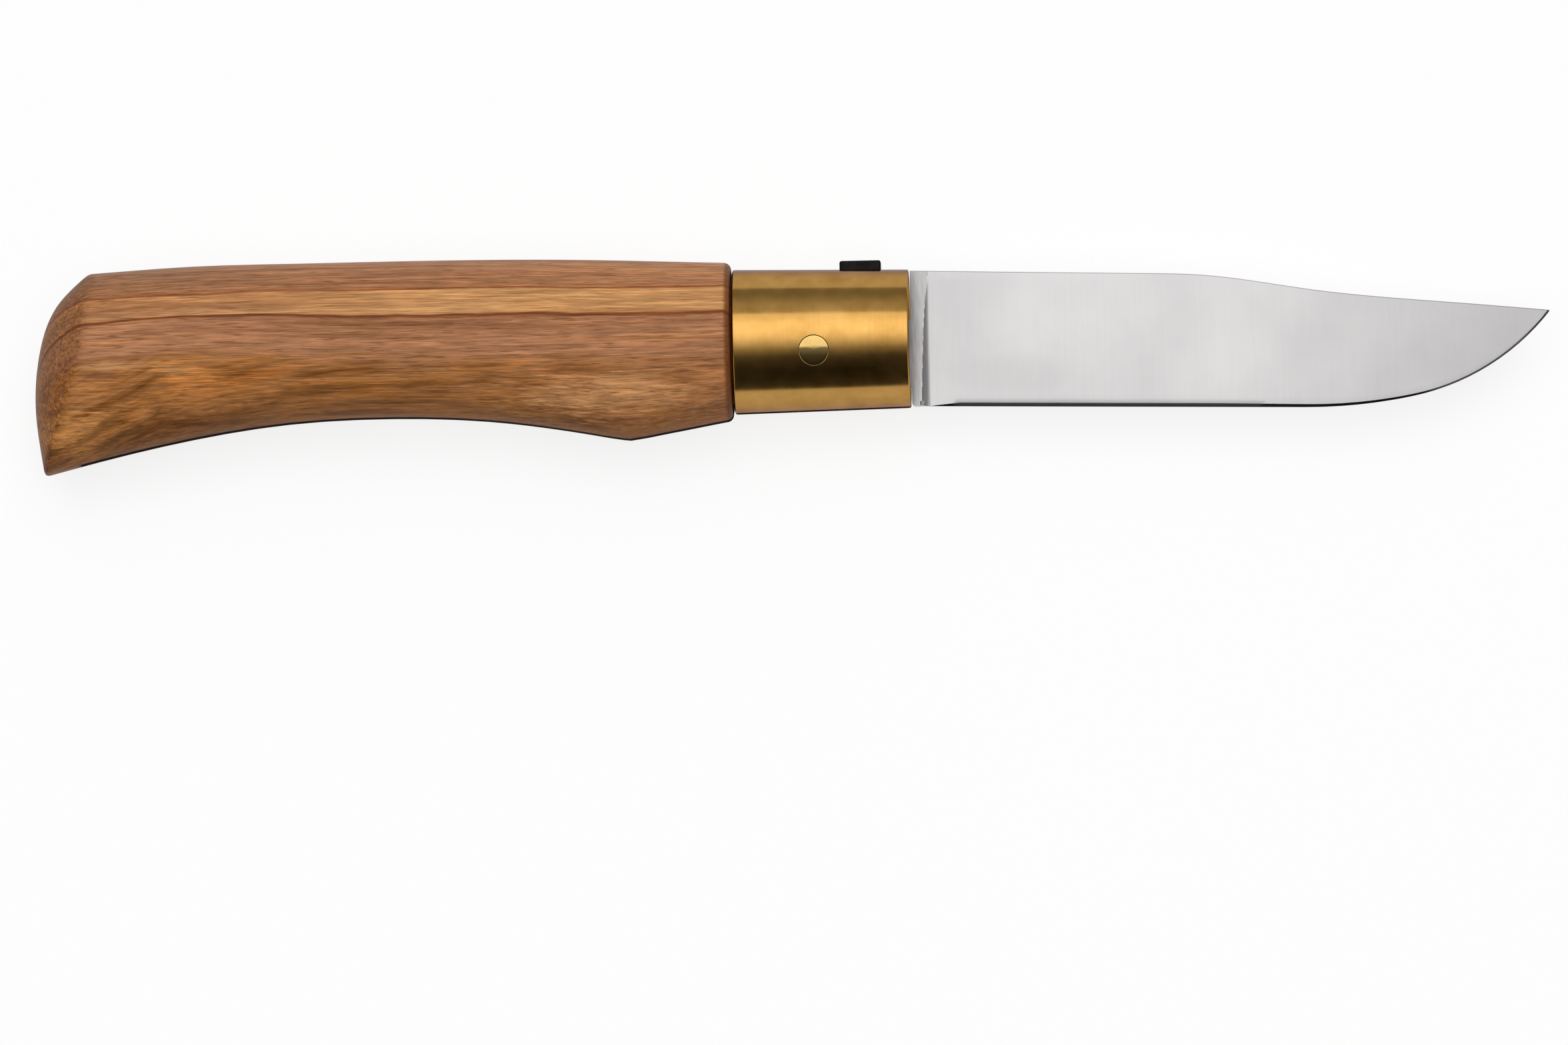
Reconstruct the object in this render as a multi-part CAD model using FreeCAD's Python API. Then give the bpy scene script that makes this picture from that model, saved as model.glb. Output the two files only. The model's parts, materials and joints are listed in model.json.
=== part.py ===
"""Folding pocket knife: oval wooden handle, brass collar, turning lock ring and flat ground blade."""
import FreeCAD
import Part
import math
import os

from FreeCAD import Vector

# Working frame, in millimetres: X along the collar's axis from its rear face towards the blade's tip,
# Y towards the spine, Z through the thickness with the blade's middle plane at zero.

# Collar
COLLAR_LENGTH = 22.1
COLLAR_REAR_RADIUS = 9.1
COLLAR_FRONT_RADIUS = 8.7
COLLAR_BORE_RADIUS = 8.0
COLLAR_EDGE_BREAK = 0.3

# Handle: distances back from the collar or in from the butt's end, heights above and drops below the
# collar's axis
BUTT_WALL = 6.0
HANDLE_THICKNESS = 20.0
SIDE_BULGE = 0.15
FRONT_HEIGHT = 10.0
FRONT_DROP = 10.0
FRONT_ROUND = 0.9
BUMP_BACK = 13.2
BUMP_HEIGHT = 10.55
BUMP_DROP = 12.05
BUMP_SPAN = 6.5
BUMP_FALL = 0.44
BUMP_REAR_RISE = 0.13
WAIST_BACK = 43.0
WAIST_HEIGHT = 11.07
WAIST_DROP = 8.76
FLARE_IN = 19.9
FLARE_HEIGHT = 10.95
FLARE_DROP = 10.87
BUTT_IN = 7.9
BUTT_HEIGHT = 10.33
BUTT_DROP = 13.44
BUTT_CORNER_IN = 6.77
BUTT_CORNER_HEIGHT = 10.2
BUTT_CORNER_RUN_ON = 0.7
BUTT_CROWN_IN = 2.84
BUTT_CROWN_HEIGHT = 6.26
BUTT_SIDE_IN = 0.44
BUTT_SIDE_DROP = 0.38
BUTT_END_DROP = 6.85
BEAK_IN = 1.06
BEAK_DROP = 15.15
BEAK_RUN_ON = 0.35
BUTT_DOME_RADIUS = 12.0
GLUE_GAP = 0.05

# Blade: its clip and its curved edge are measured back from the tip
BLADE_THICKNESS = 1.7
SHOULDER_GAP = 0.12
BLADE_REACH = 80.08
SPINE_HEIGHT = 8.49
CLIP_START_IN = 47.3
CLIP_START_HEIGHT = 7.46
CLIP_MIDDLE_IN = 30.3
CLIP_MIDDLE_HEIGHT = 5.17
CLIP_FRONT_IN = 9.9
CLIP_FRONT_HEIGHT = 2.92
HEEL_DROP = 8.5
EDGE_TILT = 1.33
CURVED_EDGE_IN = 30.8
BELLY_RADIUS = 63.0
BELLY_TURN = 12.42
POINT_RADIUS = 29.3
TANG_HALF_HEIGHT = 4.3
HEEL_ROUND = 0.4

# Grind
PLUNGE_BACK = 1.03
PLUNGE_RADIUS = 0.95
GRIND_MARGIN = 0.4
BEHIND_EDGE_THICKNESS = 0.24
BEVEL_BACK = 2.08
BEVEL_ANGLE = 16.0
EDGE_THICKNESS = 0.04

# Pivot, behind the collar's front rim and off its axis
PIVOT_IN = 11.9
PIVOT_Y = -2.0
PIVOT_RADIUS = 1.9
PIVOT_PROUD = 0.1
PIVOT_RUNNING_GAP = 0.05
PIVOT_SEAT_GAP = 0.02

# Saw slot
SLOT_WIDTH = 2.4
SLOT_CLEARANCE = 0.6

# Lock ring, behind the collar's front rim, and its tab
RING_IN = 0.8
RING_GAP = 0.1
RING_WALL = 0.6
RING_LENGTH = 9.2
RING_SLIT = 2.6
NOSE_RECESS = 0.5
TAB_LENGTH = 5.2
TAB_WIDTH = 3.2
TAB_TOP = 9.97
TAB_SET_IN = 1.3
TAB_ROUND = 0.3
TAB_STUD_RADIUS = 1.0
TAB_SEAT_GAP = 0.02
TAB_WINDOW_GAP = 0.12
LOCK_TRAVEL = 40.0

# Sections round the front rim, along the facet in front of the bump and on each stretch of the handle
# from one named section to the next
ROUND_STEPS = 4
FACET_STEPS = 3
STRETCH_STEPS = 3

# Sections between the named ones: share of the way along, of the rise of the top and of the fall of
# the underside
BUMP_TO_WAIST = [(0.3, 0.6, 0.45), (0.6, 0.9, 0.82)]
WAIST_TO_FLARE = [(0.52, 0.2, 0.21)]

# Sizes that follow from the ones above
HALF_THICKNESS = HANDLE_THICKNESS / 2
OVAL_HALF_WIDTH = HALF_THICKNESS + SIDE_BULGE
HALF_SLOT = SLOT_WIDTH / 2
HALF_BLADE = BLADE_THICKNESS / 2
TENON_RADIUS = COLLAR_BORE_RADIUS - GLUE_GAP
RING_OUTER_RADIUS = COLLAR_BORE_RADIUS - RING_GAP
RING_INNER_RADIUS = RING_OUTER_RADIUS - RING_WALL
RING_START = COLLAR_LENGTH - RING_IN - RING_LENGTH
TENON_LENGTH = RING_START - RING_GAP
NOSE_RADIUS = RING_INNER_RADIUS - RING_GAP
NOSE_END = COLLAR_LENGTH - NOSE_RECESS
SHOULDER_X = COLLAR_LENGTH + SHOULDER_GAP
PIVOT_X = COLLAR_LENGTH - PIVOT_IN
TIP_X = SHOULDER_X + BLADE_REACH
EDGE_STRAIGHT = (BLADE_REACH - CURVED_EDGE_IN) / math.cos(math.radians(EDGE_TILT))
# The folded blade lies in the handle, with the butt's wall behind its tip
HANDLE_LENGTH = TIP_X - 2 * PIVOT_X + BUTT_WALL
FLARE_BACK = HANDLE_LENGTH - FLARE_IN
BUTT_BACK = HANDLE_LENGTH - BUTT_IN
PIVOT = Vector(PIVOT_X, PIVOT_Y, 0)
AXIS_X = Vector(1, 0, 0)
AXIS_Y = Vector(0, 1, 0)
AXIS_Z = Vector(0, 0, 1)
# Length that takes a cutter clear through the piece it cuts
CLEAR = 2 * HANDLE_THICKNESS


def prism(outline, low, high):
    """Solid between two heights over a closed outline of edges that lies at Z zero."""
    face = Part.Face(Part.Wire(outline))
    face.translate(Vector(0, 0, low))
    return face.extrude(Vector(0, 0, high - low))


def polygon(points):
    """Closed outline of straight edges through flat points."""
    corners = [Vector(x, y, 0) for x, y in points]
    return [Part.LineSegment(a, b).toShape() for a, b in zip(corners, corners[1:] + corners[:1])]


def rod(radius, start, end):
    """Round bar along the collar's axis."""
    return Part.makeCylinder(radius, end - start, Vector(start, 0, 0), AXIS_X)


def cross_pin(radius):
    """Round bar through the pivot, longer than the handle is thick."""
    return Part.makeCylinder(radius, 2 * CLEAR, PIVOT - AXIS_Z * CLEAR, AXIS_Z)


def unit(angle):
    """Direction in the plane of the blade, in degrees from the collar's axis."""
    return Vector(math.cos(math.radians(angle)), math.sin(math.radians(angle)), 0)


class EdgeLine:
    """Cutting edge: a straight run, a shallow belly arc and a rounder arc up to the point."""

    def __init__(self):
        self.run = unit(-EDGE_TILT)
        self.rise = unit(90 - EDGE_TILT)
        self.heel = Vector(SHOULDER_X, -HEEL_DROP, 0)
        self.straight_end = self.heel + self.run * EDGE_STRAIGHT
        self.belly_centre = self.straight_end + self.rise * BELLY_RADIUS
        turned = unit(BELLY_TURN - EDGE_TILT - 90)
        self.belly_end = self.belly_centre + turned * BELLY_RADIUS
        self.point_centre = self.belly_end - turned * POINT_RADIUS
        reach = TIP_X - self.point_centre.x
        drop = math.sqrt(POINT_RADIUS ** 2 - reach ** 2)
        self.tip = Vector(TIP_X, self.point_centre.y - drop, 0)
        self.tip_angle = math.degrees(math.asin(reach / POINT_RADIUS))

    def edges(self, outset):
        """Edge from heel to tip, or a line outside it by an even gap."""
        belly_end_angle = BELLY_TURN - EDGE_TILT
        belly_mid_angle = BELLY_TURN / 2 - EDGE_TILT
        point_mid_angle = (belly_end_angle + self.tip_angle) / 2
        heel = self.heel - self.rise * outset
        straight_end = self.straight_end - self.rise * outset
        belly_mid = self.belly_centre + unit(belly_mid_angle - 90) * (BELLY_RADIUS + outset)
        belly_end = self.belly_centre + unit(belly_end_angle - 90) * (BELLY_RADIUS + outset)
        point_mid = self.point_centre + unit(point_mid_angle - 90) * (POINT_RADIUS + outset)
        tip = self.point_centre + unit(self.tip_angle - 90) * (POINT_RADIUS + outset)
        return [
            Part.LineSegment(heel, straight_end).toShape(),
            Part.Arc(straight_end, belly_mid, belly_end).toShape(),
            Part.Arc(belly_end, point_mid, tip).toShape(),
        ]

    def section(self, foot, half_at_edge, slope):
        """Cutter section above a ground flank, square to the edge with its foot at an edge point."""
        below = -BLADE_THICKNESS
        above = SPINE_HEIGHT + HEEL_DROP + BLADE_THICKNESS
        flank = [below, above]
        corners = [foot + self.rise * d + AXIS_Z * (half_at_edge + slope * d) for d in flank]
        corners += [foot + self.rise * d + AXIS_Z * CLEAR for d in reversed(flank)]
        return Part.Face(Part.makePolygon(corners + corners[:1]))

    def flank_cutters(self, start, half_at_edge, slope, start_round):
        """Cutters for one side of the blade, one over each stretch of the edge."""
        first = self.section(self.heel + self.run * start, half_at_edge, slope)
        straight = first.extrude(self.run * (EDGE_STRAIGHT - start))
        if start_round:
            straight = straight.makeFillet(start_round, [self.start_edge(straight, start)])
        belly_face = self.section(self.straight_end, half_at_edge, slope)
        belly = belly_face.revolve(self.belly_centre, AXIS_Z, BELLY_TURN)
        point_face = belly_face.copy()
        point_face.rotate(self.belly_centre, AXIS_Z, BELLY_TURN)
        point = point_face.revolve(self.point_centre, AXIS_Z, 90 - BELLY_TURN + EDGE_TILT)
        return [straight, belly, point]

    def start_edge(self, straight, start):
        """Edge of the straight cutter where its flank meets its rear end."""
        rear = [e for e in straight.Edges if self.is_rear(e, start)]
        return min(rear, key=lambda e: e.CenterOfMass.z)

    def is_rear(self, edge, start):
        """True for the lengthwise edges of the rear end face."""
        along = [(v.Point - self.heel).dot(self.run) - start for v in edge.Vertexes]
        across = (edge.Vertexes[1].Point - edge.Vertexes[0].Point).dot(self.rise)
        return max(abs(a) for a in along) < SHOULDER_GAP and abs(across) > SPINE_HEIGHT


EDGE = EdgeLine()


def blade_outline():
    """Side view of the blade with its round tang."""
    shoulder_top = Vector(SHOULDER_X, SPINE_HEIGHT, 0)
    clip_start = Vector(TIP_X - CLIP_START_IN, CLIP_START_HEIGHT, 0)
    clip_middle = Vector(TIP_X - CLIP_MIDDLE_IN, CLIP_MIDDLE_HEIGHT, 0)
    clip_front = Vector(TIP_X - CLIP_FRONT_IN, CLIP_FRONT_HEIGHT, 0)
    spine_run = (clip_start - shoulder_top).normalize()
    tip_run = (EDGE.tip - clip_front).normalize()
    clip = Part.BSplineCurve()
    clip.interpolate([clip_start, clip_middle, clip_front, EDGE.tip],
                     InitialTangent=spine_run, FinalTangent=tip_run)
    tang_top = PIVOT + AXIS_Y * TANG_HALF_HEIGHT
    tang_tail = PIVOT - AXIS_X * TANG_HALF_HEIGHT
    tang_bottom = PIVOT - AXIS_Y * TANG_HALF_HEIGHT
    top_root = Vector(SHOULDER_X, tang_top.y, 0)
    bottom_root = Vector(SHOULDER_X, tang_bottom.y, 0)
    back = [
        clip.toShape(),
        Part.LineSegment(clip_start, shoulder_top).toShape(),
        Part.LineSegment(shoulder_top, top_root).toShape(),
        Part.LineSegment(top_root, tang_top).toShape(),
        Part.Arc(tang_top, tang_tail, tang_bottom).toShape(),
        Part.LineSegment(tang_bottom, bottom_root).toShape(),
        Part.LineSegment(bottom_root, EDGE.heel).toShape(),
    ]
    return EDGE.edges(0) + back


def make_blade():
    """Flat ground blade with a plunge line behind the grind and a narrow bevel at the edge."""
    blade = prism(Part.__sortEdges__(blade_outline()), -HALF_BLADE, HALF_BLADE)
    heel_corner = [e for e in blade.Edges if is_upright_at(e, EDGE.heel)]
    blade = blade.makeFillet(HEEL_ROUND, heel_corner)
    blade = blade.cut(cross_pin(PIVOT_RADIUS + PIVOT_RUNNING_GAP))
    half_behind_edge = BEHIND_EDGE_THICKNESS / 2
    grind_height = SPINE_HEIGHT + HEEL_DROP - GRIND_MARGIN
    grind_slope = (HALF_BLADE - half_behind_edge) / grind_height
    bevel_slope = math.tan(math.radians(BEVEL_ANGLE))
    flanks = EDGE.flank_cutters(PLUNGE_BACK, half_behind_edge, grind_slope, PLUNGE_RADIUS)
    flanks += EDGE.flank_cutters(BEVEL_BACK, EDGE_THICKNESS / 2, bevel_slope, 0)
    for cutter in flanks:
        blade = blade.cut(cutter)
        blade = blade.cut(cutter.mirror(Vector(0, 0, 0), AXIS_Z))
    return blade


def is_upright_at(edge, corner):
    """True for the edge through the thickness at a corner of the outline."""
    return all(math.hypot(v.X - corner.x, v.Y - corner.y) < SHOULDER_GAP / 2 for v in edge.Vertexes)


def half_oval(back, height, drop, half_width, side):
    """One side of an oval section from its top to its bottom: a half circle stretched to its size."""
    middle = (height - drop) / 2
    half_height = (height + drop) / 2
    curve = Part.Arc(AXIS_Y, AXIS_Z * side, -AXIS_Y).toBSpline()
    for number, pole in enumerate(curve.getPoles(), start=1):
        curve.setPole(number, Vector(-back, middle + half_height * pole.y, half_width * pole.z))
    return curve.toShape()


def oval(back, height, drop, half_width):
    """Oval section of the handle, square to the collar's axis, in two halves."""
    near = half_oval(back, height, drop, half_width, 1)
    far = half_oval(back, height, drop, half_width, -1)
    return Part.Wire([near, far.reversed()])


def between(low, high, share):
    """Value part of the way from one to another."""
    return low + (high - low) * share


def handle_stations():
    """Sections of the handle: distance behind the collar, height and drop."""
    before = BUMP_BACK - BUMP_SPAN / 2
    after = BUMP_BACK + BUMP_SPAN / 2
    bump_side_drop = BUMP_DROP - BUMP_FALL
    bump_rise = (BUMP_HEIGHT - FRONT_HEIGHT) / (BUMP_BACK - FRONT_ROUND)
    beyond = HANDLE_LENGTH + BUTT_DOME_RADIUS / 2
    beak_back = HANDLE_LENGTH - BEAK_IN
    fall_away = (FLARE_HEIGHT - BUTT_HEIGHT) / (BUTT_BACK - FLARE_BACK)
    flare_out = (BEAK_DROP - BUTT_DROP) / (beak_back - BUTT_BACK)
    stations = []
    for step in range(FACET_STEPS + 1):
        share = step / FACET_STEPS
        back = between(FRONT_ROUND, before, share)
        height = FRONT_HEIGHT + bump_rise * (back - FRONT_ROUND)
        stations.append((back, height, between(FRONT_DROP, bump_side_drop, share)))
    stations.append((BUMP_BACK, BUMP_HEIGHT, BUMP_DROP))
    stations.append((after, BUMP_HEIGHT + BUMP_REAR_RISE, bump_side_drop))
    for along, rise, fall in BUMP_TO_WAIST:
        stations.append((between(BUMP_BACK, WAIST_BACK, along), between(BUMP_HEIGHT, WAIST_HEIGHT, rise),
                         between(BUMP_DROP, WAIST_DROP, fall)))
    stations.append((WAIST_BACK, WAIST_HEIGHT, WAIST_DROP))
    for along, rise, fall in WAIST_TO_FLARE:
        stations.append((between(WAIST_BACK, FLARE_BACK, along), between(WAIST_HEIGHT, FLARE_HEIGHT, rise),
                         between(WAIST_DROP, FLARE_DROP, fall)))
    stations.append((FLARE_BACK, FLARE_HEIGHT, FLARE_DROP))
    for back in (BUTT_BACK, beak_back, beyond):
        past = back - BUTT_BACK
        stations.append((back, BUTT_HEIGHT - fall_away * past, BUTT_DROP + flare_out * past))
    return stations


def handle_sections():
    """Sections along a smooth line through the named ones, so close that straight runs join them well."""
    stations = [Vector(*station) for station in handle_stations()]
    line = Part.BSplineCurve()
    line.interpolate(stations, InitialTangent=stations[1] - stations[0],
                     FinalTangent=stations[-1] - stations[-2])
    marks = [line.parameter(station) for station in stations]
    places = []
    for start, end in zip(marks, marks[1:]):
        places += [line.value(between(start, end, step / STRETCH_STEPS)) for step in range(STRETCH_STEPS)]
    places.append(stations[-1])
    return [oval(place.x, place.y, place.z, OVAL_HALF_WIDTH) for place in places]


def front_round_stations():
    """Sections of the rounded front rim, from its root to the seat of the collar."""
    stations = []
    for step in range(ROUND_STEPS + 1):
        angle = math.pi / 2 * step / ROUND_STEPS
        back = FRONT_ROUND * (1 - math.sin(angle))
        inset = FRONT_ROUND * (1 - math.cos(angle))
        stations.append((back, FRONT_HEIGHT - inset, FRONT_DROP - inset, OVAL_HALF_WIDTH - inset))
    return stations


def butt_dome():
    """Everything behind the rounded butt: the butt's side outline turned about an upright axis."""
    axis_x = BUTT_DOME_RADIUS - HANDLE_LENGTH
    corner = Vector(BUTT_CORNER_IN - HANDLE_LENGTH, BUTT_CORNER_HEIGHT, 0)
    crown = Vector(BUTT_CROWN_IN - HANDLE_LENGTH, BUTT_CROWN_HEIGHT, 0)
    side = Vector(BUTT_SIDE_IN - HANDLE_LENGTH, -BUTT_SIDE_DROP, 0)
    end = Vector(-HANDLE_LENGTH, -BUTT_END_DROP, 0)
    beak = Vector(BEAK_IN - HANDLE_LENGTH, -BEAK_DROP, 0)
    over = corner + (corner - crown) * BUTT_CORNER_RUN_ON
    under = beak + (beak - end) * BEAK_RUN_ON
    curve = Part.BSplineCurve()
    curve.interpolate([over, corner, crown, side, end, beak, under])
    top_axis = Vector(axis_x, over.y, 0)
    low_axis = Vector(axis_x, under.y, 0)
    outline = [
        curve.toShape(),
        Part.LineSegment(under, low_axis).toShape(),
        Part.LineSegment(low_axis, top_axis).toShape(),
        Part.LineSegment(top_axis, over).toShape(),
    ]
    face = Part.Face(Part.Wire(outline))
    dome = face.revolve(Vector(axis_x, 0, 0), AXIS_Y, 360)
    block = Part.makeBox(CLEAR, 2 * CLEAR, 2 * CLEAR, Vector(axis_x - CLEAR, -CLEAR, -CLEAR))
    return block.cut(dome)


def saw_slot():
    """Slot from the underside that follows the folded blade's edge, with a shallow run at the nose."""
    floor = EDGE.edges(SLOT_CLEARANCE)
    for stretch in floor:
        stretch.rotate(PIVOT, AXIS_Z, 180)
    heel = floor[0].Vertexes[0].Point
    rear = floor[-1].Vertexes[-1].Point
    nose_floor = PIVOT_Y + TANG_HALF_HEIGHT + SLOT_CLEARANCE
    step_x = heel.x + SLOT_CLEARANCE
    front = COLLAR_LENGTH + CLEAR
    corners = [
        Vector(rear.x, rear.y, 0),
        Vector(rear.x, -CLEAR, 0),
        Vector(front, -CLEAR, 0),
        Vector(front, nose_floor, 0),
        Vector(step_x, nose_floor, 0),
        Vector(step_x, heel.y, 0),
        Vector(heel.x, heel.y, 0),
    ]
    walls = [Part.LineSegment(a, b).toShape() for a, b in zip(corners, corners[1:])]
    return prism(Part.__sortEdges__(floor + walls), -HALF_SLOT, HALF_SLOT)


def side_flats():
    """Everything between the two flats on which the handle lies."""
    corner = Vector(-2 * HANDLE_LENGTH, -CLEAR, -HALF_THICKNESS)
    return Part.makeBox(4 * HANDLE_LENGTH, 2 * CLEAR, HANDLE_THICKNESS, corner)


def make_handle():
    """Oval wooden handle with a tenon for the collar, a nose for the lock ring and the blade's slot."""
    rim_sections = [oval(*station) for station in front_round_stations()]
    body = Part.makeLoft(handle_sections(), True, True)
    body = body.cut(butt_dome())
    body = body.fuse(Part.makeLoft(rim_sections, True, True))
    body = body.common(side_flats())
    root = -2 * FRONT_ROUND
    body = body.fuse(rod(TENON_RADIUS, root, TENON_LENGTH).fuse(rod(NOSE_RADIUS, root, NOSE_END)))
    body = body.cut(saw_slot())
    return body.cut(cross_pin(PIVOT_RADIUS + PIVOT_SEAT_GAP))


def collar_cone(proud):
    """Outer form of the collar, from its axis out, raised by a small amount."""
    return Part.makeCone(COLLAR_REAR_RADIUS + proud, COLLAR_FRONT_RADIUS + proud, COLLAR_LENGTH,
                         Vector(0, 0, 0), AXIS_X)


def tab_window():
    """Opening in the collar for the tab and its turn towards the far side."""
    half = math.degrees(math.asin((TAB_WIDTH / 2 + TAB_WINDOW_GAP) / RING_OUTER_RADIUS))
    start = RING_START + TAB_SET_IN - TAB_WINDOW_GAP
    end = start + TAB_LENGTH + 2 * TAB_WINDOW_GAP
    corners = [(start, 0), (end, 0), (end, CLEAR), (start, CLEAR)]
    face = Part.Face(Part.Wire(polygon(corners)))
    face.rotate(Vector(0, 0, 0), AXIS_X, half)
    return face.revolve(Vector(0, 0, 0), AXIS_X, -LOCK_TRAVEL - 2 * half)


def make_ferrule():
    """Tapered collar with broken rims, a slit underneath, a window for the tab and a rivet hole."""
    cone = collar_cone(0)
    rims = [e for e in cone.Edges if e.BoundBox.XLength < GLUE_GAP]
    cone = cone.makeChamfer(COLLAR_EDGE_BREAK, rims)
    collar = cone.cut(rod(COLLAR_BORE_RADIUS, -CLEAR, CLEAR))
    slit = Part.makeBox(2 * CLEAR, CLEAR, SLOT_WIDTH, Vector(-CLEAR, -CLEAR, -HALF_SLOT))
    collar = collar.cut(slit)
    collar = collar.cut(tab_window())
    return collar.cut(cross_pin(PIVOT_RADIUS + PIVOT_SEAT_GAP))


def make_pivot_rivet():
    """Rivet whose ends follow the round of the collar, standing just proud of it."""
    return cross_pin(PIVOT_RADIUS).common(collar_cone(PIVOT_PROUD))


def tab_stud(radius):
    """Stud that holds the tab in the ring."""
    middle = RING_START + TAB_SET_IN + TAB_LENGTH / 2
    return Part.makeCylinder(radius, TAB_TOP - TAB_ROUND, Vector(middle, 0, 0), AXIS_Y)


def make_lock_ring():
    """Split ring that turns between the nose of the handle and the bore of the collar."""
    ring = rod(RING_OUTER_RADIUS, RING_START, RING_START + RING_LENGTH)
    ring = ring.cut(rod(RING_INNER_RADIUS, -CLEAR, CLEAR))
    slit = Part.makeBox(2 * CLEAR, CLEAR, RING_SLIT, Vector(-CLEAR, -CLEAR, -RING_SLIT / 2))
    return ring.cut(slit).cut(tab_stud(TAB_STUD_RADIUS + TAB_SEAT_GAP))


def make_lock_tab():
    """Thumb tab that seats on the ring, stands out of the collar and is held by a stud."""
    start = RING_START + TAB_SET_IN
    block = Part.makeBox(TAB_LENGTH, TAB_TOP, TAB_WIDTH, Vector(start, 0, -TAB_WIDTH / 2))
    top_rim = [e for e in block.Edges if abs(e.CenterOfMass.y - TAB_TOP) < TAB_SEAT_GAP]
    block = block.makeFillet(TAB_ROUND, top_rim)
    block = block.cut(rod(RING_OUTER_RADIUS + TAB_SEAT_GAP, -CLEAR, CLEAR))
    stud = tab_stud(TAB_STUD_RADIUS).cut(rod(RING_INNER_RADIUS + TAB_SEAT_GAP, -CLEAR, CLEAR))
    return block.fuse(stud).removeSplitter()


def main():
    """Build every piece, set the whole on its side with its box centred on the origin, and save it."""
    pieces = {
        "handle": make_handle(),
        "ferrule": make_ferrule(),
        "pivot_rivet": make_pivot_rivet(),
        "lock_ring": make_lock_ring(),
        "lock_tab": make_lock_tab(),
        "blade": make_blade(),
    }
    whole = Part.makeCompound(list(pieces.values())).optimalBoundingBox(False, False)
    shift = Vector(-whole.Center.x, -whole.Center.y, -whole.ZMin)
    os.makedirs("parts", exist_ok=True)
    for name, shape in pieces.items():
        shape.translate(shift)
        solids = len(shape.Solids)
        print(f"{name}: {solids} solid, valid {shape.isValid()}, {shape.Volume:.2f} mm3")
        shape.exportStep(f"parts/{name}.step")
    pivot = PIVOT + shift
    print(f"frame shift {shift.x:.4f} {shift.y:.4f} {shift.z:.4f}")
    print(f"pivot at {pivot.x:.4f} {pivot.y:.4f} {pivot.z:.4f}")
    print(f"box {whole.XLength:.3f} {whole.YLength:.3f} {whole.ZLength:.3f}")


main()
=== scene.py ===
# %% [markdown]
# A folding pocket knife, open and lying on its side.
# The packed solids give every size and place. Each piece is made again here as a smooth mesh in
# the same frame, because a finish such as oiled wood or satin brass shows every facet.

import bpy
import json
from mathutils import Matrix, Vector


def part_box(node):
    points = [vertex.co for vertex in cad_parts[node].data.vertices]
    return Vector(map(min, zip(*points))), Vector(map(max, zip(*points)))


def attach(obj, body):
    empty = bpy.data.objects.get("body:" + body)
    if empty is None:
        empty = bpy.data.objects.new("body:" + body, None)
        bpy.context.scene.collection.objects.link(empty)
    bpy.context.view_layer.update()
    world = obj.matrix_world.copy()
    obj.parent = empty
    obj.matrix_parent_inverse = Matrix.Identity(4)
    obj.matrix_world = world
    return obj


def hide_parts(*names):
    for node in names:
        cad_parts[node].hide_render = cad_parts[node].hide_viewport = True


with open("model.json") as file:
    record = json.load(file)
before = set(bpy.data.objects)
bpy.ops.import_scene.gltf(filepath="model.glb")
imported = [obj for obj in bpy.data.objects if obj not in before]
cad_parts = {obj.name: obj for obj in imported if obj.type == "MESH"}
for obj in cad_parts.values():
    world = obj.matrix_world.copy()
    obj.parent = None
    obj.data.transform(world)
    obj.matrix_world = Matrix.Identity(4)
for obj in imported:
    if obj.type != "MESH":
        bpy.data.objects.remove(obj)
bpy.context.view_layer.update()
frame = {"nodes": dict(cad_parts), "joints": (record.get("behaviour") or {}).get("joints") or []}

# %% [markdown]
# Blender works in metres. A knife is drawn in millimetres, so all sizes here are in millimetres and
# are turned into metres when a mesh is finished. The collar's axis is the line to measure from.

# %% Tools and units
import json
import math

import bmesh
import bpy
import numpy as np
from mathutils import Matrix, Vector
from mathutils.bvhtree import BVHTree

MM = 0.001
JOINTS = {joint["name"]: Vector(joint["pos_m"]) / MM for joint in frame["joints"]}
AXIS_Y = JOINTS["lock_turn"].y
AXIS_Z = JOINTS["lock_turn"].z
bpy.context.scene.view_settings.view_transform = "Standard"
print("collar axis at y", round(AXIS_Y, 3), "z", round(AXIS_Z, 3))

# %% [markdown]
# The sizes are felt out on the solids, as with a caliper: a line is sent at a solid, and the
# place where it first touches is a measurement. So a change in the solids carries through.

# %% Calipers
UP, DOWN = (0, 1, 0), (0, -1, 0)
FORWARD, BACK = (1, 0, 0), (-1, 0, 0)
FAR = 150.0


def solid_tree(node):
    mesh = frame["nodes"][node].data
    return BVHTree.FromPolygons([v.co / MM for v in mesh.vertices], [p.vertices for p in mesh.polygons])


def touch(tree, start, direction):
    """The place where a line from start first touches the solid, in millimetres."""
    place = tree.ray_cast(Vector(start), Vector(direction))[0]
    if place is None:
        raise ValueError(f"nothing to touch from {start}")
    return place


def outer_radius(tree, x):
    """Half the thickness at x, felt from outside."""
    return touch(tree, (x, AXIS_Y, FAR), (0, 0, -1)).z - AXIS_Z


def inner_half(tree, x, y):
    """Half the width of a slot or a bore, felt from its middle."""
    return touch(tree, (x, y, AXIS_Z), (0, 0, 1)).z - AXIS_Z


def box_mm(node):
    low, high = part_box(node)
    return low / MM, high / MM


SOLIDS = {name: solid_tree(name) for name in frame["nodes"]}
print("solids to measure:", sorted(SOLIDS))

# %% [markdown]
# The handle is one piece of olive wood, shaped by hand to an oval and domed at the butt. Its upper
# and lower lines are felt out on the solid, and every section between them is an oval with a
# narrow flat on each side. A loft of rings along the length gives the long smooth sides, and the
# saw slot is part of each ring, so its mouth can be eased as a sanded edge is.

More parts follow.
